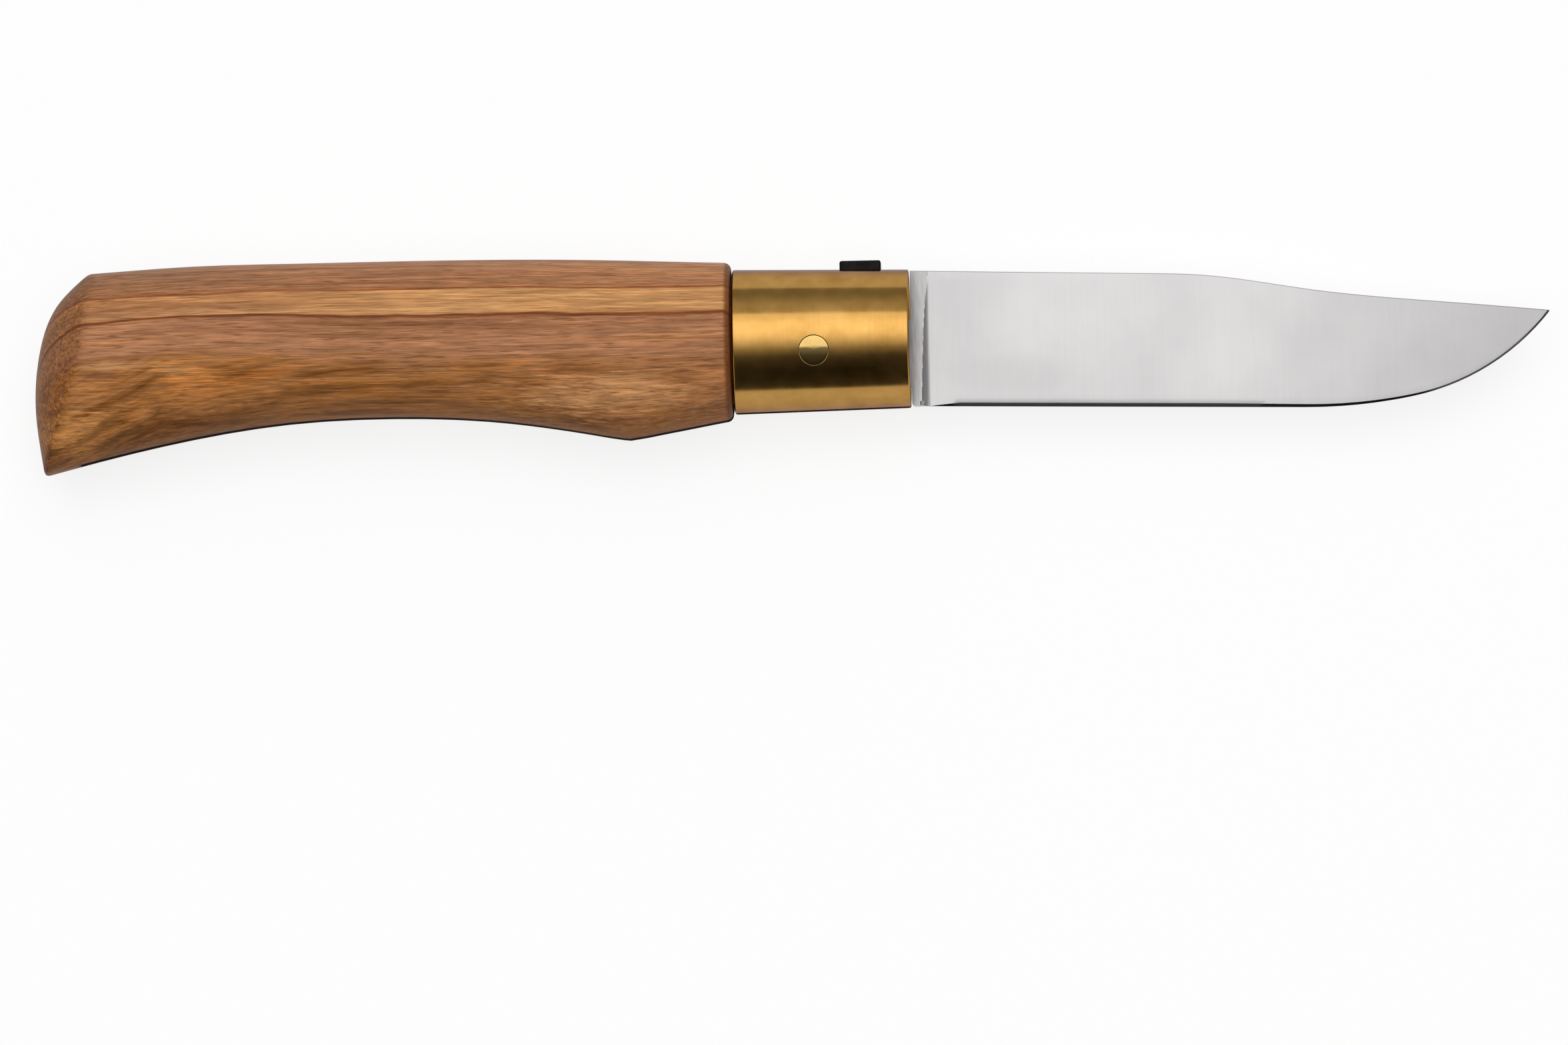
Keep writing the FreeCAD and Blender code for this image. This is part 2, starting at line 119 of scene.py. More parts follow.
# %% Handle sizes
FRONT_ROUND = 0.9
JOINT_GAP = 0.2
HANDLE = SOLIDS["handle"]
HANDLE_LOW, HANDLE_HIGH = box_mm("handle")
HALF_THICKNESS = (HANDLE_HIGH.z - HANDLE_LOW.z) / 2
BUTT_X = HANDLE_LOW.x
SEAT_X = box_mm("ferrule")[0].x
FRONT_FACE_X = SEAT_X - JOINT_GAP
FRONT_X = FRONT_FACE_X - FRONT_ROUND
MID_SLOT = (BUTT_X + SEAT_X) / 2
SLOT_HALF = inner_half(HANDLE, MID_SLOT, AXIS_Y - 5)
SLOT_END_X = touch(HANDLE, (MID_SLOT, AXIS_Y - 5.5, AXIS_Z), BACK).x
TENON_RADIUS = outer_radius(HANDLE, SEAT_X + 3)
TENON_END_X = touch(HANDLE, (FAR, AXIS_Y + TENON_RADIUS - 0.2, AXIS_Z), BACK).x
NOSE_END_X = touch(HANDLE, (FAR, AXIS_Y + 5, AXIS_Z + 3), BACK).x
NOSE_RADIUS = outer_radius(HANDLE, NOSE_END_X - 2)
print("slot half width", round(SLOT_HALF, 3))
print("tenon", round(TENON_RADIUS, 3), "nose", round(NOSE_RADIUS, 3))

# %% [markdown]
# A line is felt at many places and evened out a little, because the solid has facets. Past its two
# ends it runs straight on, so that the rings there still find an outline.

# %% Upper and lower lines
LINE_STEP = 0.5
END_RUN = 4


def smooth_line(values, reach):
    """A measured line with the small steps of the solid's facets evened out."""
    kernel = np.exp(-0.5 * (np.arange(-3 * reach, 3 * reach + 1) / reach) ** 2)
    padded = np.pad(values, 3 * reach, mode="reflect", reflect_type="odd")
    return np.convolve(padded, kernel / kernel.sum(), mode="valid")


def measured_line(places, feel, first, last, reach):
    """Feel a line at the given places, and run it straight on beyond its two ends."""
    inside = np.array([p for p in places if first <= p <= last])
    values = smooth_line(np.array([feel(p) for p in inside]), reach)
    start_slope = (values[END_RUN] - values[0]) / (inside[END_RUN] - inside[0])
    end_slope = (values[-1] - values[-1 - END_RUN]) / (inside[-1] - inside[-1 - END_RUN])
    line = np.interp(places, inside, values)
    line = np.where(places < inside[0], values[0] + start_slope * (places - inside[0]), line)
    return np.where(places > inside[-1], values[-1] + end_slope * (places - inside[-1]), line)


def feel_top(x):
    return touch(HANDLE, (x, FAR, AXIS_Z), DOWN).y


def feel_low(x):
    return touch(HANDLE, (x, -FAR, AXIS_Z + BESIDE_SLOT), UP).y


BESIDE_SLOT = SLOT_HALF + 0.2
LENGTHS = np.arange(BUTT_X - 3, SEAT_X + LINE_STEP, LINE_STEP)
top_line = measured_line(LENGTHS, feel_top, BUTT_X + 7.6, FRONT_X - 0.1, 1)
low_line = measured_line(LENGTHS, feel_low, BUTT_X + 2.4, FRONT_X - 0.1, 1)
print("places felt along the handle:", len(LENGTHS))

# %% [markdown]
# The finger bump has a crest where two nearly straight flanks meet. The solid rounds it, so a
# straight line is laid through each flank, and the low line is drawn out to where they cross.

# %% Finger bump
BUMP_EASE = 0.04
FLANK_NEAR, FLANK_FAR = 3.0, 6.5
lowest = int(np.argmin(np.where(LENGTHS > MID_SLOT, low_line, 0)))
bump_x = LENGTHS[lowest]
behind = (LENGTHS > bump_x - FLANK_FAR) & (LENGTHS < bump_x - FLANK_NEAR)
ahead = (LENGTHS > bump_x + FLANK_NEAR) & (LENGTHS < bump_x + FLANK_FAR)
flanks = [np.polyval(np.polyfit(LENGTHS[run], low_line[run], 1), LENGTHS) for run in (behind, ahead)]
crest = np.maximum(*flanks) + BUMP_EASE
low_line = np.where(np.abs(LENGTHS - bump_x) < FLANK_NEAR, np.minimum(low_line, crest), low_line)
print("bump at x", round(float(bump_x), 2), "sharpened to y", round(float(low_line.min()), 3))

# %% [markdown]
# Each section is an oval that touches both lines, a little wider than the handle is thick, so that
# its sides are cut to flats. The butt is a dome: its outline in the side view is felt out, and a
# round swing about an axis from belly to back gives the rest.

# %% Oval sections and dome
OVAL_HALF_WIDTH = 10.15
FLAT_BLEND = 0.12
BUTT_DOME_RADIUS = 12.0
BESIDE_SHARE = math.sqrt(1 - (BESIDE_SLOT / OVAL_HALF_WIDTH) ** 2)
half_heights = (top_line - low_line) / (1 + BESIDE_SHARE)
middles = top_line - half_heights
HEIGHTS = np.arange(HANDLE_LOW.y - 2, HANDLE_HIGH.y + 2, 0.25)
BUTT_LOW_Y = HANDLE_LOW.y + 0.5
BUTT_TOP_Y = float(np.interp(BUTT_X + 6.9, LENGTHS, top_line)) - 0.2
DOME_AXIS_X = BUTT_X + BUTT_DOME_RADIUS


def feel_butt(y):
    return touch(HANDLE, (-FAR, y, AXIS_Z), FORWARD).x


butt_line = measured_line(HEIGHTS, feel_butt, BUTT_LOW_Y, BUTT_TOP_Y, 2)


def oval_point(x, angle, inset=0.0):
    """Points of the oval outside; the angle starts at the underside and turns towards +Z."""
    x = np.minimum(x, FRONT_FACE_X)
    middle = np.interp(np.minimum(x, FRONT_X), LENGTHS, middles)
    half = np.interp(np.minimum(x, FRONT_X), LENGTHS, half_heights) - inset
    side = (OVAL_HALF_WIDTH - inset) * np.sin(angle)
    start = HALF_THICKNESS - FLAT_BLEND
    flattened = start + FLAT_BLEND * np.tanh((np.abs(side) - start) / FLAT_BLEND)
    side = np.where(np.abs(side) > start, np.sign(side) * flattened, side)
    return middle - half * np.cos(angle), AXIS_Z + side


def dome_x(y, z):
    """The domed butt's surface."""
    swing = DOME_AXIS_X - np.interp(y, HEIGHTS, butt_line)
    return DOME_AXIS_X - np.sqrt(np.maximum(swing**2 - (z - AXIS_Z) ** 2, 0.01))


print("tallest section", round(float(2 * half_heights.max()), 2), "mm")

# %% [markdown]
# Every ring has the same number of points, so that rings can be joined by quads. The last four points
# of a ring lie at the saw slot: two at its mouth and two on its floor. The crease is where the sides
# meet the dome.

# %% Ring points and crease
OUTER_COUNT = 128
MOUTH_EASE = 0.15
edge_angle = math.asin((SLOT_HALF + MOUTH_EASE) / OVAL_HALF_WIDTH)
mouth_angle = math.asin(SLOT_HALF / OVAL_HALF_WIDTH)
ANGLES = np.concatenate([
    np.linspace(edge_angle, 2 * math.pi - edge_angle, OUTER_COUNT),
    [-mouth_angle, -mouth_angle / 3, mouth_angle / 3, mouth_angle],
])


def crease_x(angle):
    """Where each line along the side meets the dome."""
    low = np.full_like(angle, BUTT_X - 2)
    high = np.full_like(angle, BUTT_X + 25)
    for _ in range(40):
        middle = (low + high) / 2
        behind = middle < dome_x(*oval_point(middle, angle))
        low = np.where(behind, middle, low)
        high = np.where(behind, high, middle)
    return (low + high) / 2


CREASE = crease_x(ANGLES)
crease_y, crease_z = oval_point(CREASE, ANGLES)
DOME_MIDDLE_Y = float(crease_y.min() + crease_y.max()) / 2
print("points in a ring:", len(ANGLES))
print("crease from x", round(CREASE.min(), 2), "to", round(CREASE.max(), 2))

# %% [markdown]
# There are four kinds of ring: on the dome, along the sides, round the rim at the collar, and on the
# turned tenon and nose that sit inside it. From the slot's end on, each ring is opened by the slot.

# %% Rings
def points_of(x, y, z):
    return [tuple(map(float, point)) for point in zip(x, y, z)]


def slot_floor(x):
    x = min(max(x, SLOT_END_X + 0.02), NOSE_END_X - 0.02)
    return touch(HANDLE, (x, -FAR, AXIS_Z), UP).y


def open_slot(ring):
    """Sinks the last four points of a ring into the saw slot."""
    floor = slot_floor(float(ring[OUTER_COUNT + 1][0]))
    for place, side in ((0, -SLOT_HALF), (1, -SLOT_HALF), (2, SLOT_HALF), (3, SLOT_HALF)):
        point = ring[OUTER_COUNT + place]
        mouth = place in (0, 3)
        ring[OUTER_COUNT + place] = (point[0], point[1] + MOUTH_EASE if mouth else floor, AXIS_Z + side)
    return ring


def dome_ring(share):
    y = DOME_MIDDLE_Y + share * (crease_y - DOME_MIDDLE_Y)
    z = AXIS_Z + share * (crease_z - AXIS_Z)
    return points_of(dome_x(y, z), y, z)


def side_ring(share):
    x = CREASE + (FRONT_X - CREASE) * share
    return points_of(x, *oval_point(x, ANGLES))


def rim_ring(turn):
    x = np.full_like(ANGLES, FRONT_X + FRONT_ROUND * math.sin(turn))
    return open_slot(points_of(x, *oval_point(x, ANGLES, FRONT_ROUND * (1 - math.cos(turn)))))


def round_ring(x, radius):
    """A ring of the tenon or the nose, which are turned round."""
    y = AXIS_Y - radius * np.cos(ANGLES)
    z = AXIS_Z + radius * np.sin(ANGLES)
    return open_slot([(x, float(a), float(b)) for a, b in zip(y, z)])


print("slot floor at the middle, y", round(slot_floor(MID_SLOT), 3))

# %% [markdown]
# The rings are set out from the butt to the nose. One more ring between the dome and the sides eases
# the crease, as sandpaper does.

# %% Rings in order
LENGTH_STEP = 0.8
CREASE_EASE = 0.45
DOME_STEPS = 26
DOME_REACH = 11.0
SLOT_CLEAR = 0.002
under_crease = float(CREASE[OUTER_COUNT + 1])
side_length = FRONT_X - under_crease
slot_share = (SLOT_END_X - under_crease) / side_length
shares = np.linspace(CREASE_EASE / side_length, 1, int(side_length / LENGTH_STEP))
behind_slot = [s for s in shares if s < slot_share - SLOT_CLEAR] + [slot_share]
along_slot = [slot_share + 1e-5] + [s for s in shares if s > slot_share + SLOT_CLEAR]


def eased(first, second, corner, lean=0.45):
    """A ring between two rings that leans towards the sharp corner they round off."""
    return [tuple(np.array(a) * (1 - lean) / 2 + np.array(b) * (1 - lean) / 2 + np.array(c) * lean)
            for a, b, c in zip(first, second, corner)]


dome_shares = np.linspace(0.04, 1 - CREASE_EASE / DOME_REACH, DOME_STEPS)
dome_rings = [dome_ring(share) for share in dome_shares]
side_rings = [side_ring(share) for share in behind_slot]
handle_rings = (
    dome_rings
    + [eased(dome_rings[-1], side_rings[0], dome_ring(1.0))]
    + side_rings
    + [open_slot(side_ring(share)) for share in along_slot]
    + [rim_ring(turn) for turn in np.radians((18, 36, 54, 72, 90))]
    + [round_ring(FRONT_FACE_X, TENON_RADIUS), round_ring(TENON_END_X, TENON_RADIUS)]
    + [round_ring(TENON_END_X, NOSE_RADIUS), round_ring(NOSE_END_X, NOSE_RADIUS)]
)
print("rings:", len(handle_rings))

# %% [markdown]
# Every finish has its own material. They are made empty here, so that the pieces can carry them,
# and get their nodes further down.

# %% Empty materials
def new_material(name):
    material = bpy.data.materials.new(name)
    material.use_nodes = True
    return material


SLOTS = ("handle_wood", "collar_brass", "rivet_brass", "ring_steel", "tab_black", "blade_steel")
FINISHES = {slot: new_material(slot) for slot in SLOTS}
print("finishes:", list(FINISHES))

# %% [markdown] A piece starts as a bmesh, Blender's mesh for editing. When it is closed, doubled
# points are merged, its faces are turned outwards and it becomes an object.

# %% Handle piece
def finished_piece(name, rows, body, node, slot, sharp_angle=35):
    """A closed bmesh, in millimetres, as a piece that stands for one node and rides on a body."""
    bmesh.ops.remove_doubles(rows, verts=rows.verts, dist=1e-5)
    bmesh.ops.recalc_face_normals(rows, faces=rows.faces)
    for face in rows.faces:
        face.smooth = True
    mesh = bpy.data.meshes.new(name)
    rows.to_mesh(mesh)
    rows.free()
    mesh.transform(Matrix.Scale(MM, 4))
    mesh.set_sharp_from_angle(angle=math.radians(sharp_angle))
    mesh.materials.append(FINISHES[slot])
    piece = bpy.data.objects.new(name, mesh)
    bpy.context.scene.collection.objects.link(piece)
    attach(piece, body)
    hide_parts(node)
    print(name, "faces:", len(mesh.polygons))
    return piece


def join_rings(rows, rings):
    """Quads between closed rings of the same number of points. Gives the rings' vertices."""
    rings = [[rows.verts.new(point) for point in ring] for ring in rings]
    for first, second in zip(rings, rings[1:]):
        for here in range(len(first)):
            beyond = (here + 1) % len(first)
            rows.faces.new((first[here], first[beyond], second[beyond], second[here]))
    return rings


wood = bmesh.new()
handle_loops = join_rings(wood, handle_rings)
pole = wood.verts.new((float(dome_x(DOME_MIDDLE_Y, AXIS_Z)), DOME_MIDDLE_Y, AXIS_Z))
for here, there in zip(handle_loops[0], handle_loops[0][1:] + handle_loops[0][:1]):
    wood.faces.new((pole, there, here))
wood.faces.new(handle_loops[-1])
handle = finished_piece("wood_handle", wood, "handle_body", "handle", "handle_wood")

# %% [markdown]
# The finish has to know where the wood is cut across, where painted shade darkens its lower part and where
# the slot is.
# Numbers on the mesh's points say so. A mask made from coordinates in the shader would do too, but
# here the lines of the handle are at hand.

# %% Handle masks
END_GRAIN_FADE = 0.7
UNDER_FROM = 0.72
UNDER_FADE = 0.25


def mark(piece, name, values, domain="POINT"):
    """Writes a mask on a piece, for its finish to read."""
    mask = piece.data.attributes.new(name, "FLOAT", domain)
    mask.data.foreach_set("value", np.asarray(values, dtype=np.float32))
    print(name, "marked on", int((np.asarray(values) > 0.5).sum()), "places")


points = np.array([v.co for v in handle.data.vertices]) / MM
end_grain = 1 - (points[:, 0] - dome_x(points[:, 1], points[:, 2])) / END_GRAIN_FADE
end_grain = np.where(points[:, 0] > FRONT_FACE_X - 0.05, 1, np.clip(end_grain, 0, 1))
# Painted shade: the points in the saw slot and at its mouth, which the finish paints nearly black.
painted_slot_shade = np.abs(points[:, 2] - AXIS_Z) < SLOT_HALF + MOUTH_EASE + 0.02
painted_slot_shade &= (points[:, 0] > SLOT_END_X - 0.01) & (points[:, 1] < middles.max())
middle_here = np.interp(points[:, 0], LENGTHS, middles)
half_here = np.interp(points[:, 0], LENGTHS, half_heights)
# Painted shade: the lower part of each section, which the finish darkens.
underside = np.clip(((middle_here - points[:, 1]) / half_here - UNDER_FROM) / UNDER_FADE, 0, 1)
mark(handle, "end_grain", end_grain)
mark(handle, "underside", underside)
mark(handle, "painted_slot_shade", painted_slot_shade)

# %% [markdown]
# Node trees make the turned pieces and all the finishes. A small helper keeps them readable: it adds
# a node, sets or links its inputs by name, and gives the socket that the next node needs.

# %% Node helper
class Nodes:
    def __init__(self, tree):
        self.tree = tree

    def link(self, source, target):
        self.tree.links.new(source, target)

    def add(self, kind, settings=None, **inputs):
        node = self.tree.nodes.new(kind)
        for name, value in (settings or {}).items():
            setattr(node, name, value)
        for name, value in inputs.items():
            self.give(node.inputs[name.replace("_", " ")], value)
        return node

    def give(self, socket, value):
        if isinstance(value, bpy.types.NodeSocket):
            self.link(value, socket)
        elif socket.type == "RGBA":
            socket.default_value = (*value[:3], 1)
        else:
            socket.default_value = value

    def math(self, operation, *values):
        node = self.add("ShaderNodeMath", {"operation": operation})
        for socket, value in zip(node.inputs, values):
            self.give(socket, value)
        return node.outputs[0]

    def plus(self, first, second):
        return self.math("ADD", first, second)

    def minus(self, first, second):
        return self.math("SUBTRACT", first, second)

    def times(self, first, second):
        return self.math("MULTIPLY", first, second)

    def over(self, first, second):
        return self.math("DIVIDE", first, second)

    def attribute(self, name):
        return self.add("ShaderNodeAttribute", {"attribute_name": name}).outputs["Fac"]

    def split(self, vector):
        node = self.add("ShaderNodeSeparateXYZ")
        self.give(node.inputs[0], vector)
        return node.outputs["X"], node.outputs["Y"], node.outputs["Z"]

    def vector(self, x=0.0, y=0.0, z=0.0):
        return self.add("ShaderNodeCombineXYZ", X=x, Y=y, Z=z).outputs[0]

    def scaled(self, vector, x, y, z):
        node = self.add("ShaderNodeVectorMath", {"operation": "MULTIPLY"})
        self.give(node.inputs[0], vector)
        node.inputs[1].default_value = (x, y, z)
        return node.outputs[0]

    def span(self, value, low, high, to_low=0.0, to_high=1.0, smooth=False):
        kind = {"interpolation_type": "SMOOTHSTEP" if smooth else "LINEAR"}
        ends = {"From_Min": low, "From_Max": high, "To_Min": to_low, "To_Max": to_high}
        return self.add("ShaderNodeMapRange", kind, Value=value, **ends).outputs["Result"]

    def mix(self, factor, first, second, blend="MIX"):
        node = self.add("ShaderNodeMix", {"data_type": "RGBA", "blend_type": blend})
        self.give(node.inputs["Factor"], factor)
        colours = [socket for socket in node.inputs if socket.type == "RGBA"]
        self.give(colours[0], first)
        self.give(colours[1], second)
        return next(socket for socket in node.outputs if socket.type == "RGBA")

    def ramp(self, factor, stops):
        node = self.add("ShaderNodeValToRGB", Fac=factor)
        elements = node.color_ramp.elements
        while len(elements) > 1:
            elements.remove(elements[-1])
        elements[0].position = stops[0][0]
        elements[0].color = (*stops[0][1], 1)
        for place, colour in stops[1:]:
            elements.new(place).color = (*colour, 1)
        return node.outputs["Color"]

    def noise(self, vector, scale=1.0, detail=2.0, roughness=0.5):
        looks = {"Scale": scale, "Detail": detail, "Roughness": roughness}
        return self.add("ShaderNodeTexNoise", Vector=vector, **looks).outputs["Fac"]


print("node helper:", [name for name in vars(Nodes) if not name.startswith("_")])

# %% [markdown]
# The collar is turned from brass tube and slit along its underside, and the lock ring is a split
# steel ring that turns inside it. Both are a profile spun round the collar's axis, so one
# Geometry Nodes tree makes them: a four-cornered profile with its corners filleted, swept round
# a circle. A lathe in the Screw modifier would do too, but a tree keeps the sizes as inputs.

# %% Turned ring tree
FILLET_STEPS = 5
WALL_CUTS = 3
ROUND_STEPS = 256


def turned_ring_tree():
    tree = bpy.data.node_groups.new("turned_ring", "GeometryNodeTree")
    tree.interface.new_socket("Geometry", in_out="OUTPUT", socket_type="NodeSocketGeometry")
    for name in ("Rear Place", "Length", "Rear Radius", "Front Radius", "Bore Radius", "Edge Round"):
        tree.interface.new_socket(name, in_out="INPUT", socket_type="NodeSocketFloat")
    tree.interface.new_socket("Material", in_out="INPUT", socket_type="NodeSocketMaterial")
    lathe = Nodes(tree)
    given = lathe.add("NodeGroupInput").outputs
    reach = lathe.times(given["Length"], -1.0)
    rear_wall = lathe.minus(given["Rear Radius"], given["Bore Radius"])
    front_wall = lathe.minus(given["Front Radius"], given["Bore Radius"])
    profile = lathe.add(
        "GeometryNodeCurvePrimitiveQuadrilateral", {"mode": "POINTS"},
        Point_1=lathe.vector(), Point_2=lathe.vector(y=reach),
        Point_3=lathe.vector(front_wall, reach), Point_4=lathe.vector(rear_wall),
    )
    rounded = lathe.add(
        "GeometryNodeFilletCurve", {"mode": "POLY"}, Curve=profile.outputs["Curve"],
        Count=FILLET_STEPS, Limit_Radius=True, Radius=given["Edge Round"],
    )
    divided = lathe.add("GeometryNodeSubdivideCurve", Curve=rounded.outputs["Curve"], Cuts=WALL_CUTS)
    circle = lathe.add(
        "GeometryNodeCurvePrimitiveCircle", Resolution=ROUND_STEPS, Radius=given["Bore Radius"]
    )
    swept = lathe.add(
        "GeometryNodeCurveToMesh", Curve=circle.outputs["Curve"], Profile_Curve=divided.outputs["Curve"]
    )
    laid = lathe.add(
        "GeometryNodeTransform", Geometry=swept.outputs["Mesh"], Rotation=(0, math.pi / 2, 0),
        Translation=lathe.vector(given["Rear Place"], AXIS_Y, AXIS_Z),
    )
    realized = lathe.add("GeometryNodeRealizeInstances", Geometry=laid.outputs["Geometry"])
    painted = lathe.add(
        "GeometryNodeSetMaterial", Geometry=realized.outputs["Geometry"], Material=given["Material"]
    )
    lathe.add("NodeGroupOutput", Geometry=painted.outputs["Geometry"])
    return tree


TURNED_RING = turned_ring_tree()
print("turned ring tree, nodes:", len(TURNED_RING.nodes))

# %% [markdown]
# The collar tapers to the front. Its radius is felt at two places, clear of the broken rims, and the
# taper is carried on to both ends.

# %% Collar sizes
RIM_CLEAR = 2
COLLAR = SOLIDS["ferrule"]
COLLAR_LOW, COLLAR_HIGH = box_mm("ferrule")
collar_length = COLLAR_HIGH.x - COLLAR_LOW.x
near_rear = outer_radius(COLLAR, COLLAR_LOW.x + RIM_CLEAR)
near_front = outer_radius(COLLAR, COLLAR_HIGH.x - RIM_CLEAR)
taper = (near_front - near_rear) / (collar_length - 2 * RIM_CLEAR)
COLLAR_REAR_RADIUS = near_rear - RIM_CLEAR * taper
COLLAR_FRONT_RADIUS = near_front + RIM_CLEAR * taper
COLLAR_BORE = inner_half(COLLAR, COLLAR_LOW.x + 3, AXIS_Y)
SLIT_HALF = inner_half(COLLAR, COLLAR_LOW.x + RIM_CLEAR, AXIS_Y - COLLAR_BORE - 0.3)
print("collar radii", round(COLLAR_REAR_RADIUS, 3), round(COLLAR_FRONT_RADIUS, 3))
print("bore", round(COLLAR_BORE, 3), "slit half", round(SLIT_HALF, 3))

# %% [markdown]
# The tree runs as a modifier on an empty mesh. Its inputs are set by their identifiers before it is
# first evaluated, and the result is taken out as a plain mesh, which can then be cut.

# %% Turned collar
EDGE_ROUND = 0.25


def turned_ring(sizes, material):
    """A closed ring from the tree, as a bmesh in millimetres."""
    holder = bpy.data.objects.new("turning", bpy.data.meshes.new("turning"))
    bpy.context.scene.collection.objects.link(holder)
    modifier = holder.modifiers.new("turned_ring", "NODES")
    modifier.node_group = TURNED_RING
    for socket in TURNED_RING.interface.items_tree:
        if socket.in_out == "INPUT":
            modifier[socket.identifier] = material if socket.name == "Material" else sizes[socket.name]
    evaluated = holder.evaluated_get(bpy.context.evaluated_depsgraph_get())
    mesh = bpy.data.meshes.new_from_object(evaluated)
    bpy.data.objects.remove(holder)
    rows = bmesh.new()
    rows.from_mesh(mesh)
    bpy.data.meshes.remove(mesh)
    bmesh.ops.remove_doubles(rows, verts=rows.verts, dist=1e-4)
    print("turned a ring with", len(rows.faces), "faces")
    return rows


collar = turned_ring({
    "Rear Place": COLLAR_LOW.x, "Length": collar_length, "Rear Radius": COLLAR_REAR_RADIUS,
    "Front Radius": COLLAR_FRONT_RADIUS, "Bore Radius": COLLAR_BORE, "Edge Round": EDGE_ROUND,
}, FINISHES["collar_brass"])

# %% [markdown]
# A saw cut along the underside lets the blade fold in. It is a Boolean: a block is taken out of the
# turned ring, and both have to be closed with their faces outwards.

# %% Saw cut
def combine(rows, other, operation):
    """The Boolean of two closed bmeshes."""
    objects = []
    for part in (rows, other):
        bmesh.ops.recalc_face_normals(part, faces=part.faces)
        mesh = bpy.data.meshes.new("working")
        part.to_mesh(mesh)
        part.free()
        objects.append(bpy.data.objects.new("working", mesh))
        bpy.context.scene.collection.objects.link(objects[-1])
    boolean = objects[0].modifiers.new("boolean", "BOOLEAN")
    boolean.operation = operation
    boolean.solver = "EXACT"
    boolean.object = objects[1]
    result = bmesh.new()
    result.from_object(objects[0], bpy.context.evaluated_depsgraph_get())
    for part in objects:
        mesh = part.data
        bpy.data.objects.remove(part)
        bpy.data.meshes.remove(mesh)
    return result


def cut_away(rows, cutter_points):
    """Takes a convex block, given by its corner points, out of a closed bmesh."""
    bmesh.ops.remove_doubles(rows, verts=rows.verts, dist=1e-5)
    bmesh.ops.recalc_face_normals(rows, faces=rows.faces)
    cutter = bmesh.new()
    bmesh.ops.convex_hull(cutter, input=[cutter.verts.new(point) for point in cutter_points])
    return combine(rows, cutter, "DIFFERENCE")


def block(low, high):
    return [(x, y, z) for x in (low[0], high[0]) for y in (low[1], high[1]) for z in (low[2], high[2])]


def slit_block(low_x, high_x, half):
    """The block that a saw takes out of a ring's underside."""
    return block((low_x - 1, AXIS_Y - 12, AXIS_Z - half), (high_x + 1, AXIS_Y, AXIS_Z + half))


collar = cut_away(collar, slit_block(COLLAR_LOW.x, COLLAR_HIGH.x, SLIT_HALF))
print("slit collar, faces:", len(collar.faces))

# %% [markdown]
# The window for the lock's tab is filed through the collar's wall from the top towards the far
# side, as far as the ring turns. It is a fan of points, closed to a block and cut out.

# %% Collar window
TAB_LOW, TAB_HIGH = box_mm("lock_tab")
TAB_NEAR = 0.5
TAB_PLAY = 0.12
OUTSIDE = 20
tab_middle_x = (TAB_LOW.x + TAB_HIGH.x) / 2
in_wall = (tab_middle_x, AXIS_Y + COLLAR_BORE + 0.3, AXIS_Z)


def window_edge(step):
    """The angle from the top at which the window's end is felt, turning to +Z or -Z."""
    for degrees in np.arange(0, 90, 0.25):
        angle = math.radians(degrees) * step
        outward = Vector((0, math.cos(angle), math.sin(angle)))
        start = Vector((tab_middle_x, AXIS_Y, AXIS_Z)) + OUTSIDE * outward
        if COLLAR.ray_cast(start, -outward, OUTSIDE - COLLAR_BORE)[0] is not None:
            return angle


WINDOW_NEAR = math.asin((TAB_NEAR + TAB_PLAY) / COLLAR_REAR_RADIUS)
WINDOW_FAR = window_edge(-1)
WINDOW_REAR_X = touch(COLLAR, in_wall, BACK).x
WINDOW_FRONT_X = touch(COLLAR, in_wall, FORWARD).x
print("window, degrees:", [round(math.degrees(angle), 1) for angle in (WINDOW_NEAR, WINDOW_FAR)])
print("window, x:", round(WINDOW_REAR_X, 2), round(WINDOW_FRONT_X, 2))
window = []
for angle in np.linspace(WINDOW_NEAR, WINDOW_FAR, 24):
    for radius in (COLLAR_BORE * 0.8, COLLAR_REAR_RADIUS * 1.3):
        for x in (WINDOW_REAR_X, WINDOW_FRONT_X):
            window.append((x, AXIS_Y + radius * math.cos(angle), AXIS_Z + radius * math.sin(angle)))
collar = cut_away(collar, window)

# %% [markdown]
# The rivet's hole is drilled through both walls. Then the collar is done, and the faces of its sawn
# ends are marked, because the finish paints them nearly black as painted shade.

# %% Rivet hole
RIVET = JOINTS["blade_fold"]
RIVET_LOW, RIVET_HIGH = box_mm("pivot_rivet")
RIVET_RADIUS = (RIVET_HIGH.x - RIVET_LOW.x) / 2
RIVET_SEAT = 0.03
FACES_END = 0.75


def rod_points(radius, half_length, count=64):
    """The points of a round rod on the rivet's axis."""
    turns = [2 * math.pi * k / count for k in range(count)]
    return [(RIVET.x + radius * math.cos(turn), RIVET.y + radius * math.sin(turn), AXIS_Z + end)
            for turn in turns for end in (-half_length, half_length)]


collar = cut_away(collar, rod_points(RIVET_RADIUS + RIVET_SEAT, 20))
ferrule = finished_piece("brass_collar", collar, "handle_body", "ferrule", "collar_brass", 30)
mark(ferrule, "painted_end_shade", [abs(polygon.normal.x) > FACES_END for polygon in ferrule.data.polygons], "FACE")

# %% [markdown]
# The rivet is a brass pin through the collar, the wood and the blade. Its ends are filed down to
# the collar's curve and stand a hair proud, with an eased rim. Rings of points on the collar's own
# curve give that shape exactly, where a cylinder with a bevel would end flat.

# %% Rivet
RIVET_PROUD = 0.06
RIVET_RIM = 0.09
FILED_FROM = 0.42
FILED_LEAN = math.tan(math.radians(2.0))
LOWER_LEAN = math.tan(math.radians(11.0))
LOWER_BEND = 0.055
RIVET_STEPS = 96


